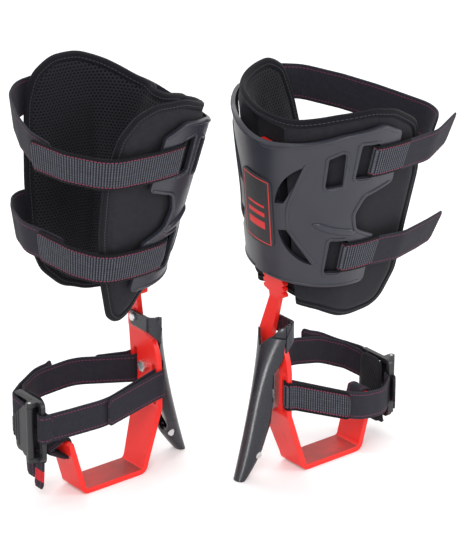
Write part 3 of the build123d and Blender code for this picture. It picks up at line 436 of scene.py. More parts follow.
NODE_FINISH = {
    "leg_iron": RED, "gaff": SPIKE, "gaff_bolts": ZINC, "gaff_nuts": ZINC, "gaff_guard": GUARD,
    "guard_rivet": ZINC, "guard_collar": GUARD, "collar_stud": ZINC, "cuff_shell": SHELL,
    "shank_sleeve": BLACK_METAL, "sleeve_rivets": ZINC, "clamp_screws": ZINC, "buckle_frame": BLACK_METAL,
    "buckle_lever": BLACK_METAL, "buckle_pin": ZINC,
}


def dress(node, material):
    mesh = nodes[node].data
    mesh.materials.clear()
    mesh.materials.append(material)


for side in SIDES:
    for name, material in NODE_FINISH.items():
        dress(f"{side}_{name}", material)
    dress(f"{side}_badge_panel", badge(side))


def finished(side, name, form, materials, part, slot, *stands_for):
    """Turns a form of the right climber, in millimetres, into a side's smooth piece on one of its bodies.

    stands_for are the CAD nodes that it is shown in place of.
    """
    for vert in form.verts:
        vert.co = placed(side, vert.co, part == "cuff")
    bmesh.ops.recalc_face_normals(form, faces=form.faces)
    mesh = bpy.data.meshes.new(f"{side}_{name}")
    form.to_mesh(mesh)
    form.free()
    for polygon in mesh.polygons:
        polygon.use_smooth = True
    for material in materials:
        mesh.materials.append(material)
    piece = bpy.data.objects.new(f"{side}_{name}", mesh)
    bpy.context.collection.objects.link(piece)
    body = part if part == "frame" else f"{side}_{part}"
    replaced = [f"{side}_{node}" for node in stands_for]
    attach(piece, body)
    if replaced:
        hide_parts(*replaced)
    return piece


def skin(form, rings):
    """Faces between rings of vertices, with both ends closed."""
    count = len(rings[0])
    for before, after in zip(rings, rings[1:]):
        for k in range(count):
            beside = (k + 1) % count
            form.faces.new((before[k], after[k], after[beside], before[beside]))
    form.faces.new(rings[0])
    form.faces.new(rings[-1])


def lay(face, layer, places):
    """Sets a face's cloth map from places in millimetres."""
    for loop, (along, inward) in zip(face.loops, places):
        loop[layer].uv = (along * MM, inward * MM)


# Places across a tape, as shares of its half width, with the share of thickness left there
TAPE_ACROSS = (
    (-1, 0.35), (-0.975, 0.8), (-0.9, 1), (-0.5, 1), (0, 1), (0.5, 1), (0.9, 1), (0.975, 0.8), (1, 0.35),
)


def ribbon(line, wide_way, width, thickness, free_ends=(False, False), corner=6.0, patch=None):
    """Webbing as a closed mesh: a face line, the way across it, its width and its thickness to one side.

    The UV map holds the length along it and the way in from its nearer edge, in metres. patch is a
    stretch along it that takes the second material.
    """
    form = bmesh.new()
    spread = form.loops.layers.uv.new("cloth")
    total = sum((b - a).length for a, b in zip(line, line[1:]))
    rings = []
    places = []
    gone = 0.0
    for i, point in enumerate(line):
        if i:
            gone += (point - line[i - 1]).length
        ahead = line[min(i + 1, len(line) - 1)] - line[max(i - 1, 0)]
        across = wide_way(point)
        normal = across.cross(ahead).normalized()
        half = width / 2
        for free, left in zip(free_ends, (gone, total - gone)):
            if free and left < corner:
                half -= corner - math.sqrt(max(0.0, corner ** 2 - (corner - left) ** 2))
        ring = []
        laid = []
        for face in (1, -1):
            for share, keep in TAPE_ACROSS[::face]:
                middle = point + normal * thickness / 2 + across * share * half
                ring.append(form.verts.new(middle + normal * face * keep * thickness / 2))
                laid.append((gone, (1 - abs(share)) * half))
        rings.append(ring)
        places.append(laid)
    count = len(rings[0])
    for i in range(len(rings) - 1):
        for k in range(count):
            order = ((i, k), (i + 1, k), (i + 1, (k + 1) % count), (i, (k + 1) % count))
            face = form.faces.new([rings[a][b] for a, b in order])
            lay(face, spread, [places[a][b] for a, b in order])
            if patch and patch[0] <= places[i][k][0] <= patch[1]:
                face.material_index = 1
    for end in (0, -1):
        for k in range(count // 2 - 1):
            order = (k, k + 1, count - 2 - k, count - 1 - k)
            face = form.faces.new([rings[end][corner] for corner in order])
            lay(face, spread, [places[end][corner] for corner in order])
    return form


# Calf straps: height and way round of their slots, folds, and paths past the shell
UPPER = (164, 75.2)
LOWER = (45, 66.7)
STRAP_FOLD = 7
STRAP_LAP = 26
FOLD_BEND = 1.2
STRAP_BEND = 0.4
STRAP_CORNER = 4
STRAP_PATCH = (0, 60)
STRAP_STEP = 1.8
CALF_STRAPS = {
    "upper_strap_near": (UPPER, -1, {
        "left": ([(66, -93), (93, -56), (105, -17)], RIBBED),
        "right": ([(60, -95), (104, -73)], PLAIN),
    }),
    "upper_strap_far": (UPPER, 1, {
        "left": ([(48, 93), (68, 73), (87, 32), (97, -4), (95, -36)], PLAIN),
        "right": ([(36, 85), (58, 47), (73, 12), (85, -24), (92, -46), (89, -62), (79, -73)], PLAIN),
    }),
    "lower_strap_near": (LOWER, -1, {
        "left": ([(50, -72.5), (67, -42), (74, -10), (75.5, 3)], RIBBED),
        "right": ([(46, -81), (84, -73), (110, -66)], PLAIN),
    }),
    "lower_strap_far": (LOWER, 1, {
        "left": ([(54, 78), (70, 56), (79, 24), (69, -4), (64, -26)], PLAIN),
        "right": ([(36, 70), (58, 30), (68, 4), (76, -22)], PLAIN),
    }),
}


def turned(u, v, angle):
    turn = math.radians(angle)
    return (u * math.cos(turn) - v * math.sin(turn), u * math.sin(turn) + v * math.cos(turn))


def calf_line(height, slot_angle, front, half):
    """Plan of a calf strap on the cuff: folded round the bar before its slot, then on to the front."""
    radius = cuff_radius(height)
    inside = radius - SHELL_WALL - WEB_CLEARANCE
    outside = radius + WEB_CLEARANCE
    fold = slot_angle + math.degrees(STRAP_FOLD / radius)
    plan = [
        turned(-inside, 0, -half * (slot_angle + math.degrees(STRAP_LAP / radius))),
        turned(-inside, 0, -half * fold),
        turned(-outside, 0, -half * fold),
        turned(-outside, 0, -half * (fold + 90) / 2),
        (0, half * outside),
        (SHELL_WING + 2, half * outside),
    ]
    plan += front
    bends = [FOLD_BEND] * 2 + [radius / 4] * 3 + [radius * STRAP_BEND] * (len(front) - 1)
    flat = evenly(rounded([(u, v, 0) for u, v in plan], bends, 1.0), STRAP_STEP)
    return [cuff_point(spot.x, spot.y, height) for spot in flat]


def cone_way(point):
    """Up the cuff's cone at a point."""
    off = point - CUFF_ORIGIN
    height = off.dot(CUFF_AXIS)
    out = off - CUFF_AXIS * height
    return (CUFF_AXIS + out * (CUFF_TAPER / cuff_radius(height))).normalized()


for side in SIDES:
    for name, ((height, slot_angle), half, fronts) in CALF_STRAPS.items():
        front, material = fronts[side]
        line = calf_line(height, slot_angle, front, half)
        form = ribbon(
            line, cone_way, WEB_WIDTH, half * WEB_THICKNESS, (False, True), STRAP_CORNER, STRAP_PATCH)
        finished(side, f"{name}_web", form, (material, RIBBED), "cuff", "webbing", name)

# Raised forms of the moulded shell: rims along its edges, frames round its openings, ridges by the vents
RIM_ROUND = 80
RIM_INSET = 2.0
RIM_STEP = 2.0
SPINE_NEAR = 6
SPINE_PAST = 5
BEAD_ACROSS = ((-1, -0.5), (-0.85, 0.35), (-0.5, 0.82), (0, 1), (0.5, 0.82), (0.85, 0.35), (1, -0.5))
BEAD_LEAST = 0.12
SLOT_FRAME = [(9, 23.2), (-12.3, 23.2), (-12.3, -23.2), (9, -23.2)]
OPEN_SLOT_FRAME = [(-12.3, 4), (-12.3, -23.2), (9, -23.2)]
WINDOW_FRAME = [(11, 8), (10, 28.6), (-10, 16.3), (-10, -24.8), (11, -18.6), (11, 9)]
VENT_RIDGE = [(38.5, 158), (32.5, 128), (27.5, 104), (26.5, 88), (28, 72), (37.5, 56), (52, 33)]
FIN_RIDGE = [(45, 86), (58, 80), (70, 77), (79, 75.5)]
RIDGE_BEND = 60
FRAME_BEND = 4
WINDOW = (152, 56)


def shell_point(half, turn, height, lift):
    """A point over the shell's outer face, by the turn from the spine.

    Past a quarter turn the wing is straight.
    """
    radius = cuff_radius(height)
    out = radius + lift
    if turn < math.pi / 2:
        return cuff_point(-out * math.cos(turn), half * out * math.sin(turn), height)
    return cuff_point(radius * (turn - math.pi / 2), half * out, height)


def left_of(line, i):
    """Way to the left of a flat line at one of its points."""
    ahead = line[min(i + 1, len(line) - 1)] - line[max(i - 1, 0)]
    return Vector((-ahead.y, ahead.x, 0)).normalized()


def rim_line(corners, radii, shift):
    """Line beside an edge of the shell, from the edge's corners seen from the side.

    One that starts near the spine goes a little past it, to meet the other half's.
    """
    flat = []
    for spot in evenly(rounded([(u, height, 0) for u, height in corners], radii), 1.0):
        radius = cuff_radius(spot.y)
        if spot.x > -SPINE_SHARE * radius:
            turn = math.acos(-spot.x / radius) if spot.x < 0 else math.pi / 2 + spot.x / radius
            flat.append(Vector((turn * RIM_ROUND, spot.y, 0)))
    if flat[0].x < SPINE_NEAR:
        flat.insert(0, Vector((-SPINE_PAST, flat[0].y, 0)))
    even = evenly(flat, RIM_STEP)
    return [spot + left_of(even, i) * shift for i, spot in enumerate(even)]


def ridge_line(corners, bend):
    """Line over the shell through ways round in degrees and heights."""
    flat = [(math.radians(around) * RIM_ROUND, height, 0) for around, height in corners]
    return evenly(rounded(flat, [bend] * (len(corners) - 2)), RIM_STEP)


def frame_line(opening, corners):
    """Line round an opening, from its height and way round and corners beside its middle in millimetres."""
    height, around = opening
    radius = cuff_radius(height)
    return ridge_line([(around + math.degrees(x / radius), height + y) for x, y in corners], FRAME_BEND)


def bead(form, half, line, width, tall):
    """Adds a raised round line that sinks into the shell at both ends."""
    rings = []
    total = sum((b - a).length for a, b in zip(line, line[1:]))
    gone = 0.0
    for i, spot in enumerate(line):
        if i:
            gone += (spot - line[i - 1]).length
        full = max(BEAD_LEAST, math.sqrt(smooth_step(min(gone, total - gone) / width)))
        ring = []
        for share, rise in BEAD_ACROSS:
            beside = spot + left_of(line, i) * (share * full * width / 2)
            lift = rise * tall * full if rise > 0 else rise
            ring.append(form.verts.new(shell_point(half, beside.x / RIM_ROUND, beside.y, lift)))
        rings.append(ring)
    skin(form, rings)


def shell_relief(half):
    """Raised lines of one half of the shell, with their widths and heights."""
    top = SHELL_WING_TOP if half < 0 else SHELL_WING_TOP - SHELL_FAR_DROP
    spine = -cuff_radius(SHELL_WING_TOP) - 1
    crown = [(spine, SHELL_SPINE_TOP), (-88, 175), (-54, top - 11 + SHELL_FAR_DROP * (half + 1) / 4)]
    crown += [(-16, top), (SHELL_WING - 6, top - 12)] if half < 0 else [(-38, top + 2)]
    notch = [(SHELL_WING - 1, 131.6), (-17, 120), (-23, 99), (-17, 80), (SHELL_WING - 7, 67.5)]
    hem = [(spine, SHELL_LOW), (SHELL_WING - 6, SHELL_LOW)]
    lines = [
        (rim_line(crown, [30, 40, 12][:len(crown) - 2], -RIM_INSET), 3.6, 1.1),
        (rim_line(notch, [10, 14, 10], -RIM_INSET), 4.0, 1.5),
        (rim_line(hem, [], RIM_INSET), 3.6, 0.9),
        (ridge_line(VENT_RIDGE, RIDGE_BEND), 4.6, 1.0),
        (ridge_line(FIN_RIDGE, RIDGE_BEND), 9.0, 2.4),
        (frame_line(LOWER, SLOT_FRAME), 3.0, 1.1),
        (frame_line(UPPER, SLOT_FRAME if half < 0 else OPEN_SLOT_FRAME), 3.0, 1.1),
    ]
    if half < 0:
        lines.append((frame_line(WINDOW, WINDOW_FRAME), 2.8, 1.0))
    return lines


for side in SIDES:
    beads = bmesh.new()
    for half in (-1, 1):
        for line, width, tall in shell_relief(half):
            bead(beads, half, line, width, tall)
    finished(side, "shell_relief", beads, (SHELL,), "cuff", "shell_black")

# Ankle straps: a band that slopes away from the leg plate to the buckle's bars
ANKLE_HEIGHT = 102.5
ANKLE_MIDDLE = 5
ANKLE_FALL = {"left": 0.07, "right": 0.25}
ANKLE_ROLL = {"left": 0.14, "right": 0.32}
ANKLE_BULGE = {"left": 28, "right": 42}
ANKLE_TAIL = {"left": 3, "right": 7}
ANKLE_PATCH = {"left": None, "right": (0, 84)}
FRONT_FOLD_BACK = {"left": 0.0, "right": 0.15}
ANKLE_CORNER = 5
ANKLE_STEP = 1.6
TAIL_POINTS = 36
FRONT_BENDS = (12, 0.5, 0.5, 8, 70, 50, 3, 0.5, 0.5, 4)
REAR_BENDS = (10, 0.5, 0.5, 8, 55, 40, 14, 8, 0.5, 0.5, 8, 14, 40, 8)
BAR_IN = BUCKLE_X - WEB_CLEARANCE
BAR_OUT = BUCKLE_X + BUCKLE_THICKNESS + WEB_CLEARANCE
BAR_FAR = BUCKLE_Y - BUCKLE_LENGTH / 2 + BUCKLE_BAR + WEB_CLEARANCE
BAR_NEAR = BUCKLE_Y - BUCKLE_BAR / 2 - WEB_CLEARANCE
BAR_END = BUCKLE_Y + BUCKLE_LENGTH / 2


def ankle_height(side, x, y):
    return ANKLE_HEIGHT - ANKLE_FALL[side] * (x + LEG_OUT) + ANKLE_ROLL[side] * (y - ANKLE_MIDDLE)


def slot_loop(slot_y, plate_edge, half):
    """Webbing that comes in outside the leg plate's edge and leaves through its slot."""
    outer = -LEG_OUT - WEB_CLEARANCE
    inner = -LEG_OUT + STRIP_THICKNESS + 2
    through = slot_y + half * (SLOT_WIDTH / 2 - WEB_CLEARANCE)
    past = plate_edge + half * WEB_CLEARANCE
    return [(inner + 2, past), (outer, past), (outer, through), (inner, through)]


def front_plan(side):
    """From the lap on itself through the plate's front slot, round the buckle's far bar and back."""
    bulge = ANKLE_BULGE[side]
    lap = Vector((56, -bulge - 0.8)).lerp(Vector((-13, -18.5)), FRONT_FOLD_BACK[side])
    plan = [(lap.x, lap.y)] + slot_loop(-11.5, -18, -1)
    plan += [(56, -bulge), (99, -bulge + 7), (BAR_IN, BAR_FAR - 8), (BAR_IN, BAR_FAR), (BAR_OUT, BAR_FAR)]
    return plan + [(BAR_OUT, BAR_FAR - 7), (118, -bulge * 0.84 + 7)]


def rear_plan():
    """From the lap on itself through the rear slot, round the buckle's near bar to the free tail."""
    plan = [(20, 45.2)] + slot_loop(21, 30.8, 1)
    plan += [(40, 56), (86, 58), (112, 46), (BAR_IN, BAR_END - 4), (BAR_IN, BAR_NEAR), (BAR_OUT, BAR_NEAR)]
    return plan + [(BAR_OUT, BAR_END + 2), (113, 47.6), (86.5, 58.9), (72, 58.4), (63, 62)]


def ankle_line(side, plan, bends, tail=0.0):
    """Line of an ankle strap on its sloping band. The tail lifts off that band towards its free end."""
    flat = evenly(rounded([(x, y, 0) for x, y in plan], bends, 0.8), ANKLE_STEP)
    line = []
    for i, spot in enumerate(flat):
        lift = tail * smooth_step((i - len(flat) + TAIL_POINTS) / TAIL_POINTS)
        line.append(Vector((spot.x, spot.y, ankle_height(side, spot.x, spot.y) + lift)))
    return line


def upright_way(point):
    return Vector((0, 0, 1))


for side in SIDES:
    line = ankle_line(side, front_plan(side), FRONT_BENDS)
    form = ribbon(
        line, upright_way, ANKLE_WEB_WIDTH, WEB_THICKNESS, (True, True), ANKLE_CORNER, ANKLE_PATCH[side])
    finished(side, "ankle_front_web", form, (PLAIN, RIBBED), "frame", "webbing", "ankle_strap_front")
    line = ankle_line(side, rear_plan(), REAR_BENDS, ANKLE_TAIL[side])
    form = ribbon(line, upright_way, ANKLE_WEB_WIDTH, -WEB_THICKNESS, (True, True), ANKLE_CORNER)
    finished(side, "ankle_rear_web", form, (PLAIN,), "frame", "webbing", "ankle_strap_rear")

# Fill of a pad's outline: rows of a grid of triangles, and how near its points may come to others
GRID_RISE = 0.866
GRID_EDGE_GAP = 0.5
GRID_SEAM_GAP = 0.6
RING_KEPT = 0.92
SPARSE_RING = 5
SEAM_GAP = 1.5
SEAM_EDGE_GAP = 0.8
NOWHERE = Vector((1e6, 0))

# Depths in from a pad's edge where its mesh begins and where air may lift it, and over how much
MESH_FROM = 6
MESH_OVER = 2
AIR_FROM = 8
AIR_OVER = 10
AIR_STEPS = 20


def tree_of(spots):
    """Search tree over flat spots."""
    tree = kdtree.KDTree(len(spots))
    for i, spot in enumerate(spots):
        tree.insert((spot.x, spot.y, 0), i)
    tree.balance()
    return tree


def gap_to(tree, spot):
    """Way from a spot to the nearest one in a tree."""
    return tree.find((spot.x, spot.y, 0))[2]


def inside_of(edge, spot):
    """Whether a spot lies within an outline, by the crossings of a level line to its right."""
    odd = False
    for a, b in zip(edge, edge[1:] + edge[:1]):
        if (a.y > spot.y) != (b.y > spot.y):
            if spot.x < a.x + (b.x - a.x) * (spot.y - a.y) / (b.y - a.y):
                odd = not odd
    return odd


def inward_of(edge, i):
    """Way into an outline that runs anticlockwise, at one of its points."""
    ahead = edge[(i + 1) % len(edge)] - edge[i - 1]
    return Vector((-ahead.y, ahead.x)).normalized()


def filled(edge, spacing, rings, seams):
    """Points and triangles that fill an outline, each point with its way in from the edge.

    seams are further points that the fill keeps, with nothing close beside them.
    """
    count = len(edge)
    tree = tree_of(edge)
    seam_tree = tree_of([NOWHERE, *seams])
    points = [spot.copy() for spot in edge]
    depths = [0.0] * count
    for ring in rings:
        for i in range(0, count, 1 if ring < SPARSE_RING else 2):
            inside = edge[i] + inward_of(edge, i) * ring
            if gap_to(seam_tree, inside) > SEAM_GAP and gap_to(tree, inside) > RING_KEPT * ring:
                points.append(inside)
                depths.append(ring)
    low_x = min(spot.x for spot in edge)
    high_x = max(spot.x for spot in edge)
    low_y = min(spot.y for spot in edge)
    high_y = max(spot.y for spot in edge)
    rise = spacing * GRID_RISE
    for row in range(int((high_y - low_y) / rise) + 1):
        for column in range(int((high_x - low_x) / spacing) + 1):
            spot = Vector((low_x + (column + 0.5 * (row % 2)) * spacing, low_y + row * rise))
            gap = gap_to(tree, spot)
            clear = gap_to(seam_tree, spot) > GRID_SEAM_GAP * spacing
            if clear and gap > rings[-1] + GRID_EDGE_GAP * spacing and inside_of(edge, spot):
                points.append(spot)
                depths.append(gap)
    for spot in seams:
        gap = gap_to(tree, spot)
        if gap > SEAM_EDGE_GAP and inside_of(edge, spot):
            points.append(spot)
            depths.append(gap)
    ways = [(i, (i + 1) % count) for i in range(count)]
    spots, _, triangles, sources, _, _ = geometry.delaunay_2d_cdt(points, ways, [], 1, 0.0001)
    return spots, triangles, [depths[source[0]] if source else 0.0 for source in sources]


def cushion(edge, spacing, rings, place, seams=()):
    """Closed two-faced pad inside an outline. place gives a point from a spot, its depth and its face.

    inner marks the face that shows spacer mesh, and held what a cloth run keeps in place.
    """
    spots, triangles, depths = filled(edge, spacing, rings, seams)
    used = sorted({index for triangle in triangles for index in triangle})
    form = bmesh.new()
    spread = form.loops.layers.uv.new("cloth")
    inner = form.verts.layers.float.new("inner")
    held = form.verts.layers.float.new("held")
    sheets = []
    for face in (1, -1):
        sheet = {}
        for index in used:
            vert = form.verts.new(place(spots[index], depths[index], face))
            vert[inner] = smooth_step((depths[index] - MESH_FROM) / MESH_OVER) if face > 0 else 0.0
            vert[held] = 1.0 if face < 0 else 1 - smooth_step((depths[index] - AIR_FROM) / AIR_OVER)
            sheet[index] = vert
        sheets.append(sheet)
    ways = {}
    for triangle in triangles:
        for a, b in zip(triangle, triangle[1:] + triangle[:1]):
            ways[(a, b)] = True
        for sheet, order in zip(sheets, (triangle, triangle[::-1])):
            face = form.faces.new([sheet[index] for index in order])
            lay(face, spread, [spots[index] for index in order])
    for a, b in ways:
        if (b, a) not in ways:
            face = form.faces.new([sheets[0][b], sheets[0][a], sheets[1][a], sheets[1][b]])
            lay(face, spread, [spots[index] for index in (b, a, a, b)])
    return form


def swell(piece, most):
    """A short cloth run with air inside a pad whose outer face and bound edge are held."""
    mesh = piece.data
    held = piece.vertex_groups.new(name="held")
    for vert, weight in zip(mesh.vertices, mesh.attributes["held"].data):
        held.add([vert.index], weight.value, "REPLACE")
    before = [vert.co.copy() for vert in mesh.vertices]
    run = piece.modifiers.new("air", "CLOTH")
    run.settings.vertex_group_mass = "held"
    run.settings.use_pressure = True
    run.settings.uniform_pressure_force = 4
    run.settings.effector_weights.gravity = 0
    run.settings.quality = 4
    run.settings.mass = 0.2
    run.settings.tension_stiffness = 10
    run.settings.compression_stiffness = 10
    run.settings.bending_stiffness = 0.2
    run.collision_settings.use_collision = False
    run.point_cache.frame_start = 1
    run.point_cache.frame_end = AIR_STEPS
    for moment in range(1, AIR_STEPS + 1):
        bpy.context.scene.frame_set(moment)
    swollen = piece.evaluated_get(bpy.context.evaluated_depsgraph_get()).to_mesh()
    for vert, old, new in zip(mesh.vertices, before, swollen.vertices):
        way = new.co - old
        vert.co = old + way * min(1.0, most / max(way.length, 1e-9))
    piece.to_mesh_clear()
    piece.modifiers.remove(run)
    piece.vertex_groups.remove(held)
    bpy.context.scene.frame_set(1)


# Liner outlines seen from the side: corners and radii of each half, and the height beside the spine
PAD_HALVES = {
    ("right", -1): (
        [(-50, -23), (-24, -31), (11, -48), (56, -44), (69, 0), (64, 60), (60, 132), (40, 194), (4, 216),
         (-24, 222), (-57, 214)],
        [30, 30, 40, 25, 30, 60, 60, 30, 40, 40, 40], 199),
    ("left", -1): (
        [(-14, -6), (-5, -25), (9, -41), (25, -27), (43, 24), (57, 84), (65, 147), (57, 200), (41, 222),
         (18, 231), (-19, 228), (-57, 207)],
        [8, 12, 8, 14, 60, 80, 60, 20, 20, 30, 40, 40], 189),
    ("right", 1): (
        [(-50, -23), (-10, -42), (16, -36), (30, 10), (32, 118), (24, 152), (11, 188), (-10, 200),
         (-60, 197)],
        [30, 25, 20, 40, 40, 40, 20, 20, 40], 199),
    ("left", 1): (
        [(-50, -36), (-22, -53), (12, -42), (37, -18), (49, 13), (51, 80), (49, 126), (46, 164), (36, 191),
         (12, 205), (-20, 205), (-48, 195), (-68, 183)],
        [30, 25, 40, 30, 30, 60, 60, 40, 25, 30, 40, 40, 40], 176),
}
PAD_INSET = 13.1
PAD_SPINE_TOP = {"left": 181, "right": 191}
PAD_SPINE_LOW = -9
PAD_SPINE_OUT = -107.5
PAD_SHOULDER_OUT = -82
PAD_SHOULDER_BEND = 40
PAD_ROUND = 75
PAD_SPACING = 5.5
PAD_RINGS = (1, 2.5, 5, 8, 11, 15)
PAD_SWELL = 0.003
PAD_EDGE_STEP = 3.0
PAD_EDGE_SMOOTHS = 3
PAD_EDGE_ROUND = 2.5
PAD_EDGE_HALF = 0.4
PAD_RIM_HALF = 2.0
PAD_CORE_HALF = 3.1
PAD_CORE_FROM = 7.5
PAD_CORE_OVER = 6
QUARTER = PAD_ROUND * math.pi / 2

# Groove of the outer face over the shank: its depth, and how far it steps out above the sleeve and the bar
GROOVE_DEEP = 25.4
SLEEVE_STEP = 5
SLEEVE_TOP = 128
SLEEVE_OVER = 14
BAR_STEP = 9
BAR_TOP = 183
BAR_OVER = 5

# The groove's sides and the inner face's swell over it, by the way off the spine, and the spots along them
GROOVE_SIDE = 26.5
GROOVE_SIDE_OVER = 6
SWELL_SIDE = 24
SWELL_SIDE_OVER = 22
SWELL_EXTRA = 1.9
GROOVE_LINES = (18, 26.5, 29.5, 32.5, 40)
GROOVE_SPOTS = 56
GROOVE_PITCH = 3.6
GROOVE_START = 2


def pad_edge(side):
    """Outline of a liner laid flat: way round from the spine, far half positive, and height."""
    edge = []
    for half in (1, -1):
        corners, radii, shoulder = PAD_HALVES[(side, half)]
        path = [(PAD_SPINE_OUT, PAD_SPINE_LOW)] + corners
        path += [(PAD_SHOULDER_OUT, shoulder), (PAD_SPINE_OUT, PAD_SPINE_TOP[side])]
        line = rounded([(u, height, 0) for u, height in path], radii + [PAD_SHOULDER_BEND])
        stretch = []
        for spot in line:
            radius = cuff_radius(spot.y) - PAD_INSET
            if spot.x > -SPINE_SHARE * radius:
                turn = PAD_ROUND * math.acos(-spot.x / radius) if spot.x < 0 else QUARTER + spot.x
                stretch.append(Vector((half * turn, spot.y)))
        edge += stretch[::half]
    even = evenly([spot.to_3d() for spot in edge + edge[:1]], PAD_EDGE_STEP)[:-1]
    even = [spot.to_2d() for spot in even]
    for _ in range(PAD_EDGE_SMOOTHS):
        even = [(even[i - 1] + 2 * even[i] + even[(i + 1) % len(even)]) / 4 for i in range(len(even))]
    return even


def pad_thickness(depth):
    """Half thickness: a rounded edge, a flat bound rim and a full core."""
    rim = PAD_EDGE_HALF + PAD_RIM_HALF * round_edge(depth, PAD_EDGE_ROUND)
    return rim + PAD_CORE_HALF * smooth_step((depth - PAD_CORE_FROM) / PAD_CORE_OVER)


def groove_inset(side, height):
    """Outer face over the shank: deep beside the sleeve, shallower beside the bare bar."""
    inset = GROOVE_DEEP - SLEEVE_STEP * smooth_step((height - SLEEVE_TOP) / SLEEVE_OVER)
    if side == "right":
        inset -= BAR_STEP * smooth_step((height - BAR_TOP) / BAR_OVER)
    return inset


def groove_seams():
    """Spots up both sides of the groove, so that its edges come out clean."""
    seams = []
    for half in (1, -1):
        for off in GROOVE_LINES:
            for k in range(GROOVE_SPOTS):
                height = PAD_SPINE_LOW + GROOVE_START + GROOVE_PITCH * k
                seams.append(Vector((half * off * PAD_ROUND / (cuff_radius(height) - PAD_INSET), height)))
    return seams


def liner_spot(side):
    """Gives a side's points of the liner's faces, which swell in over the shank sleeve."""

    def spot_of(spot, depth, face, lift=0.0):
        around = abs(spot.x)
        height = spot.y
        off_spine = (cuff_radius(height) - PAD_INSET) * around / PAD_ROUND
        groove = groove_inset(side, height)
        full = groove - PAD_INSET + SWELL_EXTRA
        over_swell = 1 - smooth_step((off_spine - SWELL_SIDE) / SWELL_SIDE_OVER)
        over_groove = 1 - smooth_step((off_spine - GROOVE_SIDE) / GROOVE_SIDE_OVER)
        inner = PAD_INSET + pad_thickness(depth) + lift + full * over_swell
        outer = PAD_INSET - pad_thickness(depth) - lift
        outer += max(0.0, groove - lift - outer) * over_groove
        inset = {1: inner, 0: (inner + outer) / 2, -1: outer}[face]
        radius = cuff_radius(height) - inset
        half = 1 if spot.x > 0 else -1
        if around < QUARTER:
            turn = around / PAD_ROUND
            return cuff_point(-radius * math.cos(turn), half * radius * math.sin(turn), height)
        return cuff_point(around - QUARTER, half * radius, height)

    return spot_of


# Bound edge of a pad: way in from the edge, face and height above the cloth
BINDING_REACH = 8.2
BINDING_SECTION = (
    (BINDING_REACH, 1, -0.3), (8.1, 1, 0.6), (6, 1, 0.8), (3, 1, 0.8), (1, 1, 0.7), (-0.9, 0, 0.0),
    (1, -1, 0.7), (3, -1, 0.8), (6, -1, 0.8), (8.1, -1, 0.6), (BINDING_REACH, -1, -0.3),
)


def bound(edge, place):
    """Tape folded over a pad's edge all the way round."""
    form = bmesh.new()
    spread = form.loops.layers.uv.new("cloth")
    rings = []
    lengths = [0.0]
    for i, spot in enumerate(edge):
        inward = inward_of(edge, i)
        ring = []
        for depth, face, lift in BINDING_SECTION:
            ring.append(form.verts.new(place(spot + inward * depth, max(depth, 0), face, lift)))
        rings.append(ring)
        lengths.append(lengths[-1] + (edge[(i + 1) % len(edge)] - spot).length)
    across = [max(0.0, BINDING_REACH - depth) for depth, _, _ in BINDING_SECTION]
    for i, ring in enumerate(rings):
        after = rings[(i + 1) % len(rings)]
        start, end = lengths[i], lengths[i + 1]
        for k in range(len(across)):
            beside = (k + 1) % len(across)
            face = form.faces.new((ring[k], after[k], after[beside], ring[beside]))
            places = ((start, across[k]), (end, across[k]), (end, across[beside]), (start, across[beside]))
            lay(face, spread, places)
    return form


for side in SIDES:
    edge = pad_edge(side)
    form = cushion(edge, PAD_SPACING, PAD_RINGS, liner_spot(side), groove_seams())
    liner = finished(side, "liner", form, (PAD,), "cuff", "pad_mesh", "cuff_pad")
    swell(liner, PAD_SWELL)
    finished(side, "liner_binding", bound(edge, liner_spot(side)), (BINDING,), "cuff", "pad_mesh")

# Backing behind the buckle, webbing round the upright and the ends that hang below
BACKING_WIDTH = 34
BACKING_LENGTH = 76
BACKING_CORNER = 11
BACKING_EDGE_STEP = 2.5
BACKING_EDGE_ROUND = 4
BACKING_EDGE_HALF = 0.4
BACKING_RIM_HALF = 1.1
BACKING_SPACING = 4
BACKING_RINGS = (1, 2.5, 4.5)
BACKING_FACE = BUCKLE_X - WEB_THICKNESS - 2 * WEB_CLEARANCE
KEEPER_WIDTH = 24
KEEPER_SHIFT = KEEPER_WIDTH / 8
KEEPER_SLOT_HEIGHT = 44.5
KEEPER_LAP = 6
KEEPER_SEAM_HALF = 0.3
KEEPER_OFF = 1
KEEPER_BENDS = (6, 1, 1, 3)
KEEPER_STEP = 1.5
UPRIGHT_HEIGHT = 62
SOLE_LENGTH = 82
UPRIGHT_LEAN = math.radians(15)
TAB_WIDTH = 15
TAB_FOOT = 15
TAB_LAP = 6
TAB_SPREAD = 0.6
TAB_CORNER = 2
TAB_STEPS = 10
TAB_PATCH = (21, 11)


def side_way(point):
    return Vector((0, 1, 0))


def buckle_middle(side):
    """Height of the buckle's middle."""
    return ankle_height(side, BUCKLE_X, BUCKLE_Y) - BUCKLE_DROP


def backing_form(side):
    """Small pad behind the buckle, level with its top."""
    base = buckle_middle(side) + BUCKLE_TALL / 2 - BACKING_LENGTH / 2
    wide = BACKING_WIDTH / 2
    tall = BACKING_LENGTH / 2
    corners = [(0, -tall), (wide, -tall), (wide, tall), (-wide, tall), (-wide, -tall), (0, -tall)]
    outline = rounded([(y, z, 0) for y, z in corners], [BACKING_CORNER] * 4)
    edge = [spot.to_2d() for spot in evenly(outline, BACKING_EDGE_STEP)[:-1]]

    def spot_of(spot, depth, face):
        out = BACKING_FACE - BACKING_THICKNESS / 2
        out -= face * (BACKING_EDGE_HALF + BACKING_RIM_HALF * round_edge(depth, BACKING_EDGE_ROUND))
        return Vector((out, BUCKLE_Y + spot.x, base + spot.y))

    return cushion(edge, BACKING_SPACING, BACKING_RINGS, spot_of)


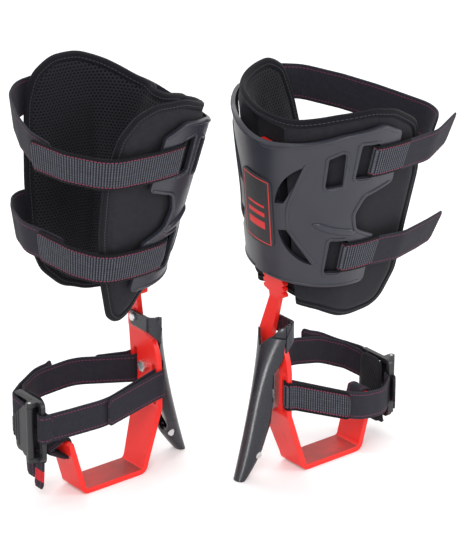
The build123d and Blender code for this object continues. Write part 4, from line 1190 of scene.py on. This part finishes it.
def keeper_form(side):
    """Webbing from the backing over the upright's end and back through its slot."""
    lean = math.tan(UPRIGHT_LEAN)
    over = UPRIGHT_HEIGHT + STRIP_THICKNESS * math.sin(UPRIGHT_LEAN) + WEB_CLEARANCE
    outer = SOLE_LENGTH + UPRIGHT_HEIGHT * lean
    inner = SOLE_LENGTH + KEEPER_SLOT_HEIGHT * lean - STRIP_THICKNESS / math.cos(UPRIGHT_LEAN)
    seam_x = BACKING_FACE - BACKING_THICKNESS - WEB_THICKNESS
    seam = buckle_middle(side) - BUCKLE_TALL / 2 + KEEPER_LAP
    slot = KEEPER_SLOT_HEIGHT + KEEPER_OFF
    path = [
        (seam_x, seam + KEEPER_SEAM_HALF),
        (outer + KEEPER_OFF, over),
        (outer - STRIP_THICKNESS - KEEPER_OFF, over),
        (inner - KEEPER_OFF, slot),
        (outer - KEEPER_OFF, slot),
        (seam_x, seam - KEEPER_SEAM_HALF),
    ]
    line = evenly(rounded([(x, KEEPER_SHIFT, z) for x, z in path], KEEPER_BENDS, 0.8), KEEPER_STEP)
    return ribbon(line, side_way, KEEPER_WIDTH, WEB_THICKNESS)


def tab_form(side):
    """Two ends of webbing that hang under the buckle, the first with a patch."""
    form = bmesh.new()
    x = BACKING_FACE + WEB_CLEARANCE / 2
    top = buckle_middle(side) - BUCKLE_TALL / 2 + TAB_LAP
    for half, foot, curl in ((-1, TAB_FOOT, 2.5), (1, TAB_FOOT + TAB_LAP, -1.5)):
        y = BUCKLE_Y + half * TAB_WIDTH * TAB_SPREAD
        line = []
        for k in range(TAB_STEPS + 1):
            share = k / TAB_STEPS
            line.append(Vector((x + curl * share * share, y, top + (foot - top) * share)))
        patch = (top - foot - TAB_PATCH[0], top - foot - TAB_PATCH[1]) if half < 0 else None
        tab = ribbon(line, side_way, TAB_WIDTH, -WEB_THICKNESS, (False, True), TAB_CORNER, patch)
        joined = bpy.data.meshes.new("tab")
        tab.to_mesh(joined)
        tab.free()
        form.from_mesh(joined)
        bpy.data.meshes.remove(joined)
    return form


for side in SIDES:
    backing = finished(side, "backing", backing_form(side), (PAD,), "frame", "pad_mesh", "buckle_pad")
    finished(side, "keeper_web", keeper_form(side), (PLAIN,), "frame", "webbing", "upright_keeper")
    finished(side, "tab_web", tab_form(side), (PLAIN, PATCH), "frame", "webbing", "pull_tabs")

# The guard's raised lip beside its V-notch, and the web that joins the wrap's front wall to that lip
MOUTH_HEIGHT = 160
MOUTH_MIDDLE = (-15, 6.5)
MOUTH_HALF = (18.5, 26.8)
LIP_RISE = 15
LIP_START = -0.6
LIP_CURVE = 0.75
LIP_ROUND = 1.6
LIP_PAST_LEG = 1.6
LIP_SECTION = ((0.35, -2.4), (0.35, 0.5), (0.6, 0.9), (1.3, 1.0), (2.0, 0.9), (2.25, 0.5), (2.25, -2.4))
LIP_STEPS = 16
WRAP_CORNERS = ((-23.3, 159), (-23.3, 174.6), (-22.2, 175.5), (-14.6, 175.8), (-15.4, 174.2))
WRAP_FACES = (-16.3, -14.1)


def guard_lip():
    """Wall that goes on up from the guard's rim, higher towards the leg."""
    form = bmesh.new()
    first = math.asin(MOUTH_MIDDLE[1] / MOUTH_HALF[1])
    last = math.acos((MOUTH_MIDDLE[0] + LEG_OUT + LIP_PAST_LEG) / MOUTH_HALF[0])
    rings = []
    for i in range(LIP_STEPS + 1):
        share = i / LIP_STEPS
        turn = first + (last - first) * share
        top = LIP_RISE * smooth_step(share ** LIP_CURVE) + LIP_START
        ring = []
        for inset, rise in LIP_SECTION:
            x = MOUTH_MIDDLE[0] - (MOUTH_HALF[0] - inset) * math.cos(turn)
            y = MOUTH_MIDDLE[1] - (MOUTH_HALF[1] - inset) * math.sin(turn)
            height = rise if rise < 0 else top - (1 - rise) * LIP_ROUND
            ring.append(form.verts.new((x, y, MOUTH_HEIGHT + height)))
        rings.append(ring)
    skin(form, rings)
    return form


def wrap_web():
    """Flat web over the slanted top of the wrap's front wall."""
    form = bmesh.new()
    skin(form, [[form.verts.new((x, y, height)) for x, height in WRAP_CORNERS] for y in WRAP_FACES])
    return form


for side in SIDES:
    finished(side, "guard_lip", guard_lip(), (GUARD,), "guard", "guard_black")
    finished(side, "wrap_web", wrap_web(), (GUARD,), "frame", "guard_black")

# Camera at the photograph's angle, with its focal length in pixels of the picture
ELEVATION = math.radians(22.82)
AZIMUTH = math.radians(-38.42)
LOOK_AT = Vector((48.7, 52.1, 198)) * MM
CAMERA_DISTANCE = 2.7782
SENSOR_HEIGHT = 36
FOCAL_PIXELS = 2600
PICTURE_HEIGHT = 547
back = Vector((
    math.cos(ELEVATION) * math.sin(AZIMUTH), -math.cos(ELEVATION) * math.cos(AZIMUTH), math.sin(ELEVATION)))
camera_data = bpy.data.cameras.new("camera")
camera_data.sensor_fit = "VERTICAL"
camera_data.sensor_height = SENSOR_HEIGHT
camera_data.lens = SENSOR_HEIGHT * FOCAL_PIXELS / PICTURE_HEIGHT
camera = bpy.data.objects.new("camera", camera_data)
camera.location = LOOK_AT + back * CAMERA_DISTANCE
camera.rotation_euler = back.to_track_quat("Z", "Y").to_euler()
bpy.context.collection.objects.link(camera)
bpy.context.scene.camera = camera

# Studio: pale floor just below the soles, white surround, three soft lamps and a card
FLOOR_LEVEL = -0.0006
floor_form = bmesh.new()
bmesh.ops.create_grid(floor_form, x_segments=2, y_segments=2, size=6)
floor_mesh = bpy.data.meshes.new("floor")
floor_form.to_mesh(floor_mesh)
floor_form.free()
floor = bpy.data.objects.new("floor", floor_mesh)
floor.location.z = FLOOR_LEVEL
floor_finish = Finish("floor", {
    "Base Color": colour(0.9, 0.9, 0.9), "Roughness": 0.9, "Specular IOR Level": 0.1,
    "Emission Strength": 0.14})
floor_finish.feed("Emission Color", floor_finish.start.node("ShaderNodeLightPath", output="Is Camera Ray"))
floor_mesh.materials.append(floor_finish.material)
bpy.context.collection.objects.link(floor)


def lamp(name, place, aim, size, watts):
    data = bpy.data.lights.new(name, "AREA")
    data.shape = "DISK"
    data.size = size
    data.energy = watts
    lamp_object = bpy.data.objects.new(name, data)
    lamp_object.location = place
    way = Vector(place) - Vector(aim)
    lamp_object.rotation_euler = way.to_track_quat("Z", "Y").to_euler()
    bpy.context.collection.objects.link(lamp_object)
    return lamp_object


lamp("key", (-1.6, -1.6, 2.0), (0, 0, 0.22), 1.1, 30)
lamp("fill", (1.6, -1.9, 1.1), (0, 0, 0.22), 1.2, 18)
lamp("top", (0.3, 0.8, 2.3), (0, 0, 0.25), 1.4, 22)
# Small card beside the pair that only the guards mirror
card = lamp("card", (-0.48, -0.17, 0.06), (0.02, -0.03, 0.09), 0.13, 0.9)
card.visible_diffuse = False
card.visible_camera = False
guards = bpy.data.collections.new("guards")
for side in SIDES:
    guards.objects.link(nodes[f"{side}_gaff_guard"])
    guards.objects.link(bpy.data.objects[f"{side}_guard_lip"])
card.light_linking.receiver_collection = guards

world = bpy.data.worlds.new("studio")
bpy.context.scene.world = world
world.use_nodes = True
sky = Wire(world.node_tree)
seen = sky.node("ShaderNodeLightPath", output="Is Camera Ray")
mirrored = sky.node("ShaderNodeLightPath", output="Is Glossy Ray")
through = sky.node("ShaderNodeLightPath", output="Is Transmission Ray")
strength = 0.8 + 0.2 * seen.larger(mirrored).larger(through)
background = world.node_tree.nodes["Background"]
world.node_tree.links.new(strength.socket, background.inputs["Strength"])
background.inputs["Color"].default_value = (1, 1, 1, 1)
bpy.context.scene.view_settings.view_transform = "Standard"
